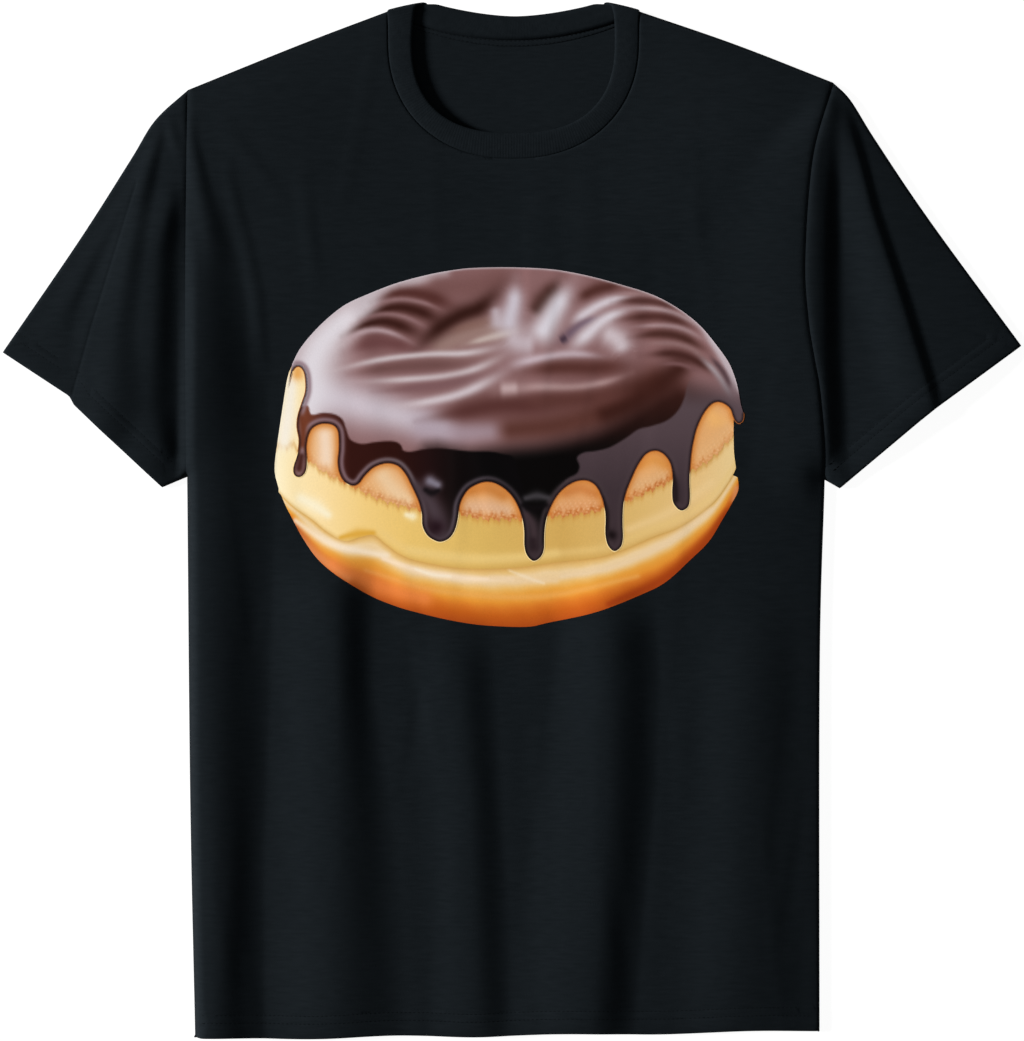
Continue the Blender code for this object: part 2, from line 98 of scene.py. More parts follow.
@dataclass(frozen=True)
class Route:
    """A line on the plan of the shirt, made of straight pieces between its points."""

    points: tuple[Point, ...]

    @classmethod
    def through(cls, x: Array, y: Array) -> "Route":
        """Route through places."""
        return cls(tuple(zip(x.tolist(), y.tolist())))

    def smooth(self, cuts: int = 8) -> "Route":
        """Curve through the points (Catmull-Rom).

        Args:
            cuts: parts that each span is cut into.

        Returns:
            The curve as a route with many short pieces.
        """
        held = [np.array(point) for point in self.points]
        held = [2 * held[0] - held[1]] + held + [2 * held[-1] - held[-2]]
        line = []
        for four in zip(held, held[1:], held[2:], held[3:]):
            line += [curve_point(*four, cut / cuts) for cut in range(cuts)]
        line.append(held[-2])
        return Route.through(*np.array(line).T)

    def ring(self, cuts: int = 8) -> "Route":
        """Closed smooth curve through the points, without its first point again at the end.

        Args:
            cuts: parts that each span is cut into.

        Returns:
            The ring.
        """
        count = len(self.points)
        wrapped = Route(self.points[-3:] + self.points + self.points[:3]).smooth(cuts)
        return Route(wrapped.points[3 * cuts:(3 + count) * cuts])

    def back(self) -> "Route":
        """The same route, walked the other way."""
        return Route(self.points[::-1])

    def joined(self, *others: "Route") -> "Route":
        """This route and others end to end, without doubled points.

        Args:
            others: routes that follow this one.

        Returns:
            One route.
        """
        points = list(self.points)
        for other in others:
            for point in other.points:
                if math.dist(point, points[-1]) > SAME_PLACE:
                    points.append(point)
        return Route(tuple(points))

    def moved(self, distance: float) -> "Route":
        """The route moved to its left, as seen when walking along it.

        Args:
            distance: how far to move it; below zero to its right.

        Returns:
            The moved route.
        """
        places = np.array(self.points)
        along = np.gradient(places, axis=0)
        along /= np.linalg.norm(along, axis=1, keepdims=True)
        shifted = places + np.stack((-along[:, 1], along[:, 0]), axis=1) * distance
        return Route.through(*shifted.T)

    def length(self) -> float:
        """Length of the whole route."""
        return float(np.linalg.norm(np.diff(np.array(self.points), axis=0), axis=1).sum())

    def at(self, distances: Array) -> tuple[Array, Array]:
        """Places on the route.

        Args:
            distances: how far along the route each place is.

        Returns:
            X and Y of each place.
        """
        places = np.array(self.points)
        walked = np.concatenate(([0], np.cumsum(np.linalg.norm(np.diff(places, axis=0), axis=1))))
        return np.interp(distances, walked, places[:, 0]), np.interp(distances, walked, places[:, 1])

    def spaced(self, step: float) -> "Route":
        """The route with points at equal distances of about one step."""
        count = max(1, round(self.length() / step))
        return Route.through(*self.at(np.linspace(0, self.length(), count + 1)))

    def distance(self, x: Array, y: Array) -> Array:
        """Shortest distance from places to the route.

        Args:
            x, y: places on the plan.

        Returns:
            A distance for each place.
        """
        best = np.full(np.shape(x), np.inf)
        for start, end in zip(self.points, self.points[1:]):
            run = np.subtract(end, start)
            share = np.clip(((x - start[0]) * run[0] + (y - start[1]) * run[1]) / (run @ run), 0, 1)
            best = np.minimum(best, np.hypot(x - start[0] - share * run[0], y - start[1] - share * run[1]))
        return best

    def closed(self) -> "Route":
        """The route with its first point again at the end."""
        return Route(self.points + self.points[:1])

    def holds(self, x: Array, y: Array) -> Array:
        """Whether places lie inside the closed outline that the route makes.

        Args:
            x, y: places on the plan.

        Returns:
            True for each place inside.
        """
        inside = np.zeros(np.shape(x), dtype=bool)
        for (x0, y0), (x1, y1) in zip(self.points, self.points[1:] + self.points[:1]):
            rise = y1 - y0 if y1 != y0 else 1
            inside ^= ((y0 > y) != (y1 > y)) & (x < (x1 - x0) * (y - y0) / rise + x0)
        return inside


@dataclass(frozen=True)
class Pattern:
    """Lines along which the shirt is cut and sewn, as it lies on the floor."""

    neck_left: Point = (-0.0855, 0.3494)
    neck_right: Point = (0.0875, 0.3494)
    shoulder_tip_left: Point = (-0.2225, 0.2955)
    shoulder_tip_right: Point = (0.2205, 0.3005)
    underarm_left: Point = (-0.2229, 0.0300)
    underarm_right: Point = (0.2146, 0.0280)
    sleeve_end_left: Point = (-0.2400, 0.0228)
    sleeve_end_right: Point = (0.2249, 0.0221)
    sleeve_tip_left: Point = (-0.3495, 0.1155)
    sleeve_tip_right: Point = (0.3495, 0.1200)
    hem_y: float = -0.3521
    hem_tilt: float = 0.0125
    hem_wave: float = 0.0008
    hem_wave_length: float = 0.123
    hem_wave_peak: float = -0.145
    neck_middle_x: float = 0.0010
    neck_turn_y: float = 0.3290
    neck_end_slope: float = 0.3
    neck_step: float = 0.0022
    neck_cuts: int = 120
    back_points: int = 80
    underarm_step: float = 0.002
    seam_half_width: float = 0.0862
    seam_drop: float = 0.0812
    seam_squareness: float = 2.2
    free_half_width: float = 0.0695
    free_drop: float = 0.0634
    free_squareness: float = 2.5
    back_seam_y: float = 0.3300
    back_seam_rise: float = 0.0180
    back_top_y: float = 0.3463
    back_top_rise: float = 0.0104
    back_top_power: float = 1.70
    peak_left: Point = (-0.0602, 0.3550)
    peak_right: Point = (0.0645, 0.3553)
    back_tuck: float = 0.0040

    def hem(self, x: Array) -> Array:
        """Y of the hem at places across the shirt."""
        wave = np.cos((x - self.hem_wave_peak) / self.hem_wave_length * math.tau)
        return self.hem_y + self.hem_tilt * x - self.hem_wave * wave

    def side(self, side: Side) -> Route:
        """Side seam, from the underarm to the hem.

        Args:
            side: which side of the shirt.

        Returns:
            The seam, from its upper end.
        """
        if side is Side.LEFT:
            return Route((self.underarm_left, (-0.2208, -0.1918), (-0.2174, -0.3546))).smooth(40)
        return Route((self.underarm_right, (0.2112, -0.1000), (0.2110, -0.3495))).smooth(40)

    def shoulder(self, side: Side) -> Route:
        """Shoulder line, from the neck to the sleeve.

        Args:
            side: which side of the shirt.

        Returns:
            The line, from the neck.
        """
        if side is Side.LEFT:
            return Route((self.neck_left, (-0.1450, 0.3268), self.shoulder_tip_left)).smooth(16)
        return Route((self.neck_right, (0.1536, 0.3266), self.shoulder_tip_right)).smooth(16)

    def armhole(self, side: Side) -> Route:
        """Seam between body and sleeve, from the shoulder to the underarm.

        Args:
            side: which side of the shirt.

        Returns:
            The seam, from its upper end.
        """
        if side is Side.LEFT:
            return Route((self.shoulder_tip_left, (-0.2235, 0.1600), self.underarm_left)).smooth(30)
        return Route((self.shoulder_tip_right, (0.2057, 0.2491), (0.2002, 0.1790), (0.2024, 0.1380),
                      (0.2064, 0.1120), (0.2103, 0.0900), (0.2137, 0.0544), self.underarm_right)).smooth(12)

    def overarm(self, side: Side) -> Route:
        """Folded upper edge of a sleeve, from the shoulder to the cuff.

        Args:
            side: which side of the shirt.

        Returns:
            The edge, from the shoulder.
        """
        if side is Side.LEFT:
            return Route((self.shoulder_tip_left, (-0.2450, 0.2745), (-0.2620, 0.2471),
                          (-0.2970, 0.1922), self.sleeve_tip_left)).smooth(16)
        return Route((self.shoulder_tip_right, (0.2325, 0.2882), (0.2496, 0.2608),
                      (0.2866, 0.2059), self.sleeve_tip_right)).smooth(16)

    def underarm(self, side: Side) -> Route:
        """Short seam under the arm, from the cuff to the body.

        Args:
            side: which side of the shirt.

        Returns:
            The seam, from the cuff.
        """
        if side is Side.LEFT:
            return Route((self.sleeve_end_left, self.underarm_left)).spaced(self.underarm_step)
        return Route((self.sleeve_end_right, self.underarm_right)).spaced(self.underarm_step)

    def cuff(self, side: Side) -> Route:
        """Open end of a sleeve, from its tip to the underarm, bent where a fold ends.

        Args:
            side: which side of the shirt.

        Returns:
            The open edge, from the sleeve's tip.
        """
        if side is Side.LEFT:
            return Route((self.sleeve_tip_left, (-0.3031, 0.0852), (-0.2997, 0.0791), self.sleeve_end_left))
        return Route((self.sleeve_tip_right, (0.2894, 0.0763), (0.2784, 0.0674), self.sleeve_end_right))

    def scoop(self, half_width: float, drop: float, squareness: float, count: int) -> Route:
        """Rounded front neck curve from left to right.

        Args:
            half_width: half the curve's width.
            drop: how far it dips.
            squareness: 2 for an ellipse, more for a squarer curve.
            count: parts that it is cut into.

        Returns:
            The curve.
        """
        angle = np.pi * (1 - np.arange(count + 1) / count)
        across = np.abs(np.cos(angle)) ** (2 / squareness) * np.sign(np.cos(angle))
        down = np.abs(np.sin(angle)) ** (2 / squareness)
        return Route.through(self.neck_middle_x + half_width * across, self.neck_turn_y - drop * down)

    def front_neck(self, inset: float) -> Route:
        """Neck edge of the front panel, from left to right, a little outside the rib's seam.

        Args:
            inset: how far outside the seam it runs; below zero under the rib.

        Returns:
            The edge.
        """
        curve = self.scoop(self.seam_half_width + inset, self.seam_drop + inset,
                           self.seam_squareness, self.neck_cuts)
        end_drop = self.neck_end_slope * inset
        left = (self.neck_left[0] - inset, self.neck_left[1] - end_drop)
        right = (self.neck_right[0] + inset, self.neck_right[1] - end_drop)
        return Route((left,)).joined(curve, Route((right,))).spaced(self.neck_step)

    def back_seam(self, x: Array) -> Array:
        """Y of the seam between the rib and the back panel."""
        share = (x - self.neck_middle_x) / self.seam_half_width
        return self.back_seam_y + self.back_seam_rise * share ** 2

    def back_neck(self, inset: float) -> Route:
        """Neck edge of the back panel, from left to right, which runs a little way under the rib.

        Args:
            inset: how far below the seam its ends lie.

        Returns:
            The edge.
        """
        x = np.linspace(self.neck_left[0] - inset, self.neck_right[0] + inset, self.back_points)
        share = np.clip(np.abs(x - self.neck_middle_x) / self.seam_half_width, 0, 1)
        return Route.through(x, self.back_seam(x) - inset + self.back_tuck * (1 - share ** 4))

    def hem_line(self, step: float) -> Route:
        """Hem from left to right.

        Args:
            step: about how far apart the points are.

        Returns:
            The hem.
        """
        left = self.side(Side.LEFT).points[-1][0]
        right = self.side(Side.RIGHT).points[-1][0]
        x = np.linspace(left, right, round((right - left) / step) + 1)
        return Route.through(x, self.hem(x))

    def closed_edges(self) -> tuple[Route, ...]:
        """Edges where the upper and lower layers meet.

        Returns:
            Both side seams, then both shoulders with the sleeves' folded edges.
        """
        return (
            self.side(Side.LEFT).back().joined(self.underarm(Side.LEFT).back()),
            self.side(Side.RIGHT).back().joined(self.underarm(Side.RIGHT).back()),
            self.shoulder(Side.LEFT).joined(self.overarm(Side.LEFT)),
            self.shoulder(Side.RIGHT).joined(self.overarm(Side.RIGHT)),
        )

    def body_outline(self, neck: Route, step: float) -> Route:
        """Outline of a body panel, anticlockwise from the left end of the hem.

        Args:
            neck: the panel's neck edge, from left to right.
            step: about how far apart the points are.

        Returns:
            The outline, without its first point again.
        """
        right = self.side(Side.RIGHT).back().joined(self.armhole(Side.RIGHT).back()).spaced(step)
        left = self.armhole(Side.LEFT).joined(self.side(Side.LEFT)).spaced(step)
        around = self.hem_line(step).joined(right, self.shoulder(Side.RIGHT).back().spaced(step),
                                            neck.back(), self.shoulder(Side.LEFT).spaced(step), left)
        doubled = math.dist(around.points[0], around.points[-1]) < SAME_PLACE
        return Route(around.points[:-1]) if doubled else around

    def into_body(self, side: Side, x: Array, y: Array) -> Array:
        """How far places lie inside the body from an armhole; below zero on the sleeve.

        Args:
            side: which side of the shirt.
            x, y: places on the plan.

        Returns:
            A depth for each place.
        """
        seam = sorted(self.armhole(side).points, key=lambda point: point[1])
        middle = np.interp(y, [point[1] for point in seam], [point[0] for point in seam])
        return np.sign((middle - x) * side.value) * self.armhole(side).distance(x, y)

    def sleeve_outline(self, side: Side, gap: float, step: float) -> Route:
        """Outline of a sleeve, anticlockwise.

        Args:
            side: which side of the shirt.
            gap: how far from the armhole the sleeve ends; below zero inside the body.
            step: about how far apart the points are.

        Returns:
            The outline, without its first point again.
        """
        seam = Route(tuple((x + side.value * gap, y) for x, y in self.armhole(side).points))
        around = self.overarm(side).spaced(step).joined(
            self.cuff(side).spaced(step), self.underarm(side).spaced(step), seam.back().spaced(step))
        around = Route(around.points[:-1])
        return around if side is Side.LEFT else around.back()


@dataclass(frozen=True)
class Crest:
    """A point on a fold's crest, with the widths of the slopes to its left and right."""

    x: float
    y: float
    left: float
    right: float


@dataclass(frozen=True)
class Fold:
    """A fold that runs along its crest and dies away past both ends and near a closed edge."""

    height: float
    fade: float
    crests: tuple[Crest, ...]
    clear: float = 0.012
    sharp: float = 0.0
    sharp_power: float = 1.6

    def lift(self, x: Array, y: Array) -> Array:
        """Height that the fold adds at places.

        Args:
            x, y: places on the plan.

        Returns:
            The added height at each place.
        """
        crest = sorted(self.crests, key=lambda point: point.y)
        levels = [point.y for point in crest]
        middle = np.interp(y, levels, [point.x for point in crest])
        left = np.interp(y, levels, [point.left for point in crest])
        right = np.interp(y, levels, [point.right for point in crest])
        across = np.clip(np.where(x < middle, (middle - x) / left, (x - middle) / right), 0, 1)
        rounded = np.cos(across * math.pi / 2) ** 2
        creased = np.where(x < middle, rounded, 1 - across ** self.sharp_power)
        profile = rounded + self.sharp * (creased - rounded)
        above = smooth_step((levels[-1] + self.fade / 2 - y) / self.fade)
        below = smooth_step((y - levels[0] + self.fade / 2) / self.fade)
        return self.height * profile * above * below


MAIN_FOLDS = (
    # Along the left edge, from the armhole down to the hem
    Fold(0.0096, 0.200, (Crest(-0.215, 0.168, 0.012, 0.031), Crest(-0.216, 0.048, 0.014, 0.055),
                         Crest(-0.210, -0.110, 0.040, 0.045), Crest(-0.206, -0.226, 0.060, 0.036),
                         Crest(-0.204, -0.500, 0.060, 0.036)), 0.0034, 0.30),
    Fold(0.0018, 0.050, (Crest(-0.2195, 0.262, 0.008, 0.006), Crest(-0.213, 0.223, 0.010, 0.011),
                         Crest(-0.204, 0.183, 0.012, 0.016)), 0.0075),
    # Four long folds that open towards the hem
    Fold(0.0064, 0.050, (Crest(-0.122, -0.034, 0.046, 0.030), Crest(-0.121, -0.110, 0.050, 0.028),
                         Crest(-0.120, -0.226, 0.050, 0.042), Crest(-0.121, -0.360, 0.048, 0.054))),
    Fold(0.0038, 0.060, (Crest(-0.040, -0.080, 0.034, 0.028), Crest(-0.029, -0.190, 0.036, 0.024),
                         Crest(-0.024, -0.360, 0.038, 0.026))),
    Fold(0.0066, 0.055, (Crest(0.066, -0.060, 0.040, 0.032), Crest(0.067, -0.110, 0.042, 0.034),
                         Crest(0.065, -0.190, 0.050, 0.033), Crest(0.059, -0.270, 0.058, 0.031),
                         Crest(0.053, -0.360, 0.062, 0.030)), 0.012, 0.3),
    Fold(0.0032, 0.110, (Crest(0.164, -0.075, 0.038, 0.036), Crest(0.156, -0.240, 0.040, 0.048),
                         Crest(0.150, -0.360, 0.040, 0.056))),
    # Left sleeve, from the shoulder to the cuff
    Fold(0.0032, 0.035, (Crest(-0.244, 0.268, 0.012, 0.008), Crest(-0.251, 0.243, 0.016, 0.011),
                         Crest(-0.263, 0.185, 0.024, 0.014), Crest(-0.273, 0.130, 0.030, 0.018),
                         Crest(-0.276, 0.082, 0.030, 0.026), Crest(-0.280, 0.050, 0.020, 0.022))),
    Fold(0.0046, 0.045, (Crest(-0.236, 0.218, 0.024, 0.012), Crest(-0.244, 0.182, 0.036, 0.019),
                         Crest(-0.247, 0.120, 0.044, 0.021), Crest(-0.249, 0.080, 0.040, 0.025),
                         Crest(-0.238, 0.035, 0.030, 0.016))),
    # Right sleeve, from the shoulder to the cuff
    Fold(0.0034, 0.040, (Crest(0.228, 0.283, 0.016, 0.007), Crest(0.236, 0.247, 0.026, 0.008),
                         Crest(0.244, 0.213, 0.030, 0.009), Crest(0.265, 0.148, 0.034, 0.010),
                         Crest(0.283, 0.089, 0.034, 0.010), Crest(0.286, 0.075, 0.030, 0.010))),
    # Beside the right armhole, where the body stands higher than the sleeve
    Fold(0.0038, 0.045, (Crest(0.217, 0.285, 0.020, 0.010), Crest(0.207, 0.247, 0.050, 0.019),
                         Crest(0.204, 0.175, 0.085, 0.020), Crest(0.2055, 0.115, 0.085, 0.020),
                         Crest(0.2075, 0.080, 0.070, 0.022), Crest(0.210, 0.020, 0.040, 0.024))),
    Fold(-0.0024, 0.050, (Crest(0.226, 0.250, 0.011, 0.018), Crest(0.2265, 0.175, 0.014, 0.040),
                          Crest(0.229, 0.115, 0.017, 0.045), Crest(0.231, 0.060, 0.019, 0.040),
                          Crest(0.231, 0.030, 0.019, 0.030)), 0.008),
)

FINE_FOLDS = (
    # Thin folds that hang from the left armhole and shoulder
    Fold(0.0008, 0.060, (Crest(-0.194, 0.235, 0.008, 0.007), Crest(-0.183, 0.191, 0.009, 0.008),
                         Crest(-0.175, 0.154, 0.009, 0.008), Crest(-0.172, 0.100, 0.009, 0.009))),
    Fold(0.0005, 0.060, (Crest(-0.143, 0.232, 0.010, 0.009), Crest(-0.135, 0.165, 0.010, 0.009))),
    Fold(0.0005, 0.040, (Crest(-0.196, 0.270, 0.012, 0.010), Crest(-0.160, 0.222, 0.014, 0.012))),
    Fold(0.0008, 0.020, (Crest(-0.236, 0.276, 0.006, 0.007), Crest(-0.229, 0.252, 0.006, 0.007)), 0.006),
    # Under the rib
    Fold(0.0003, 0.050, (Crest(0.018, 0.240, 0.014, 0.014), Crest(0.022, 0.185, 0.014, 0.014))),
    Fold(0.0003, 0.050, (Crest(0.052, 0.240, 0.014, 0.014), Crest(0.050, 0.170, 0.016, 0.014))),
    # Left sleeve, near its cuff and near its folded edge
    Fold(0.0016, 0.050, (Crest(-0.277, 0.110, 0.030, 0.030), Crest(-0.279, 0.060, 0.025, 0.034))),
    Fold(0.0014, 0.050, (Crest(-0.266, 0.225, 0.012, 0.008), Crest(-0.290, 0.178, 0.016, 0.010),
                         Crest(-0.309, 0.140, 0.018, 0.011))),
)


@dataclass(frozen=True)
class Rumple:
    """Small soft ridges that a worn jersey keeps, closer together towards the hem."""

    seed: int = 11
    count: int = 60
    heights: tuple[float, float] = (0.00008, 0.00026)
    lengths: tuple[float, float] = (0.050, 0.150)
    widths: tuple[float, float] = (0.007, 0.017)
    tilt: float = 0.22
    half_width: float = 0.215
    low_y: float = -0.350
    high_y: float = 0.300
    crowding: float = 1.5
    fade_share: float = 0.6

    def folds(self) -> tuple[Fold, ...]:
        """The ridges, always the same ones for a seed.

        Returns:
            One small fold for each ridge.
        """
        rng = np.random.default_rng(self.seed)
        ridges = []
        for _ in range(self.count):
            height = rng.uniform(*self.heights) * rng.choice((-1, 1))
            length = rng.uniform(*self.lengths)
            left, right = rng.uniform(*self.widths, 2)
            x = rng.uniform(-self.half_width, self.half_width)
            y = self.low_y + (self.high_y - self.low_y) * rng.uniform() ** self.crowding
            lean = rng.uniform(-self.tilt, self.tilt) * length / 2
            crests = tuple(Crest(x + way * lean, y + way * length / 2, left, right) for way in (-1, 1))
            ridges.append(Fold(height, length * self.fade_share, crests))
        return tuple(ridges)


@dataclass(frozen=True)
class Crease:
    """A narrow groove that has been pressed into the cloth."""

    depth: float
    width: float
    line: Route

    def drop(self, x: Array, y: Array) -> Array:
        """How far it lowers places."""
        return self.depth * bell(self.line.distance(x, y), self.width)


SLEEVE_CREASE = Crease(0.00035, 0.0011, Route(((-0.2575, 0.2306), (-0.2720, 0.1830),
                                               (-0.2878, 0.1330), (-0.3010, 0.0860))))


@dataclass(frozen=True)
class Drape:
    """How the upper layer lifts off the lower one, over the whole shirt."""

    pattern: Pattern
    edge_height: float = 0.0046
    puff: float = 0.0072
    near_rise: float = 0.032
    far_rise: float = 0.110
    near_share: float = 0.62
    hem_drop: float = 0.20
    hem_reach: float = 0.070
    least_distance: float = 1e-5
    neck_settle: float = 0.72
    neck_reach: tuple[float, float] = (0.090, 0.190)
    folds: tuple[Fold, ...] = MAIN_FOLDS + FINE_FOLDS + Rumple().folds()

    def edge_distance(self, x: Array, y: Array) -> Array:
        """Smooth measure of how far places are from the closed edges.

        Args:
            x, y: places on the plan.

        Returns:
            A distance for each place.
        """
        closeness = sum(np.maximum(line.distance(x, y), self.least_distance) ** -3.0
                        for line in self.pattern.closed_edges())
        return closeness ** (-1 / 3)

    def height(self, x: Array, y: Array) -> Array:
        """Height of the upper layer's outer face above the floor.

        Args:
            x, y: places on the plan.

        Returns:
            The height at each place.
        """
        edge = self.edge_distance(x, y)
        near, far = 1 - np.exp(-edge / self.near_rise), 1 - np.exp(-edge / self.far_rise)
        rise = self.near_share * near + (1 - self.near_share) * far
        over_hem = np.clip((y - self.pattern.hem(x)) / self.hem_reach, 0, 1)
        lift = self.puff * rise * (1 - self.hem_drop * (1 - over_hem) ** 2)
        inner, outer = self.neck_reach
        from_neck = np.hypot(x - self.pattern.neck_middle_x, y - self.pattern.neck_left[1])
        lift = lift * (1 - self.neck_settle * (1 - smooth_step((from_neck - inner) / (outer - inner))))
        folds = sum(fold.lift(x, y) * (1 - np.exp(-(edge / fold.clear) ** 2)) for fold in self.folds)
        return self.edge_height + lift + folds

    def edge_drop(self, x: Array, y: Array) -> Array:
        """How far the cloth bends down to the middle of a closed edge.

        Args:
            x, y: places on the plan.

        Returns:
            The drop at each place.
        """
        radius = self.edge_height / 2
        near = np.full(np.shape(x), np.inf)
        for line in self.pattern.closed_edges():
            near = np.minimum(near, line.distance(x, y))
        inside = radius - np.minimum(near, radius)
        return radius - np.sqrt(np.maximum(radius * radius - inside * inside, 0))


@dataclass(frozen=True)
class EdgeRows:
    """Extra rows of points beside a line, so that a rounding or a groove there comes out smooth."""

    line: Route
    distances: tuple[float, ...]


@dataclass(frozen=True)
class Plan:
    """A panel's outline cut into triangles, still flat."""

    x: Array
    y: Array
    triangles: list[list[int]]


@dataclass(frozen=True)
class Lattice:
    """Spacing of the points that a panel is cut into triangles on, closer across the folds."""

    step_x: float = 0.0022
    step_y: float = 0.0044
    outline_clear: float = 0.45
    row_clear: float = 0.35
    row_apart: float = 0.9
    least_gap: float = 0.0002

    def plan(self, outline: Route, rows: tuple[EdgeRows, ...] = ()) -> Plan:
        """Cut an outline into triangles.

        Args:
            outline: anticlockwise outline, without its first point again.
            rows: lines that need closer rows of points beside them.

        Returns:
            The triangulated plan.
        """
        stretch = self.step_x / self.step_y
        squeezed = Route(tuple((px, py * stretch) for px, py in outline.closed().points))
        (x_low, y_low), (x_high, y_high) = np.min(outline.points, 0), np.max(outline.points, 0)
        spans = ((x_low, x_high, self.step_x), (y_low, y_high, self.step_y))
        x, y = np.meshgrid(*(np.arange(math.floor(low / step), math.ceil(high / step) + 1) * step
                             for low, high, step in spans))
        x[::2] += self.step_x / 2
        x, y = x.ravel(), y.ravel()
        kept = outline.holds(x, y)
        x, y = x[kept], y[kept]
        kept = squeezed.distance(x, y * stretch) > self.outline_clear * self.step_x
        for row in rows:
            kept &= row.line.distance(x, y) > row.distances[-1] + self.row_clear * self.step_x
        places = outline.points + Route.through(x[kept], y[kept]).points
        for row in rows:
            others = [other.line for other in rows if other is not row]
            for distance in row.distances:
                for way in (distance, -distance):
                    px, py = np.array(row.line.moved(way).points).T
                    near = outline.holds(px, py) & (outline.closed().distance(px, py) > self.least_gap)
                    for line in others:
                        near &= line.distance(px, py) > self.row_apart * distance
                    places += Route.through(px[near], py[near]).points
        flat = [Vector((px, py * stretch)) for px, py in places]
        ring = [list(range(len(outline.points)))]
        points, _, triangles, _, _, _ = delaunay_2d_cdt(flat, [], ring, 1, SAME_PLACE)
        return Plan(np.array([point.x for point in points]),
                    np.array([point.y / stretch for point in points]), triangles)


def new_object(name: str, vertices: Array, faces: list, smooth: bool = True) -> bpy.types.Object:
    """Make a mesh object and put it in the scene.

    Args:
        name: name of the object and its mesh.
        vertices: places, one row each.
        faces: lists of vertex numbers.
        smooth: whether faces are shaded smooth.

    Returns:
        The new object.
    """
    mesh = bpy.data.meshes.new(name)
    mesh.from_pydata(np.asarray(vertices).tolist(), [], faces)
    mesh.update()
    if smooth:
        mesh.shade_smooth()
    item = bpy.data.objects.new(name, mesh)
    bpy.context.collection.objects.link(item)
    return item


def ring_faces(first: int, last: int, sides: int) -> list[list[int]]:
    """Four-sided faces of a tube whose points stand ring after ring.

    Args:
        first, last: numbers of the first ring's and the last ring's first points.
        sides: points in each ring.

    Returns:
        The faces between the rings.
    """
    return [[here + corner, here + sides + corner, here + sides + after, here + after]
            for here in range(first, last, sides)
            for corner, after in zip(range(sides), [*range(1, sides), 0])]


def sheet_object(name: str, plan: Plan, z: Array, layer: Layer) -> bpy.types.Object:
    """Make a sheet over a plan, facing up in the upper layer and down in the lower one."""
    faces = plan.triangles if layer is Layer.UPPER else [corners[::-1] for corners in plan.triangles]
    return new_object(name, np.stack((plan.x, plan.y, z), axis=1), faces)


def thicken(item: bpy.types.Object, thickness: float) -> None:
    """Give a sheet its thickness, behind its outer face.

    Args:
        item: the sheet.
        thickness: the cloth's thickness.
    """
    solid = item.modifiers.new("cloth", "SOLIDIFY")
    solid.thickness = thickness
    solid.offset = -1


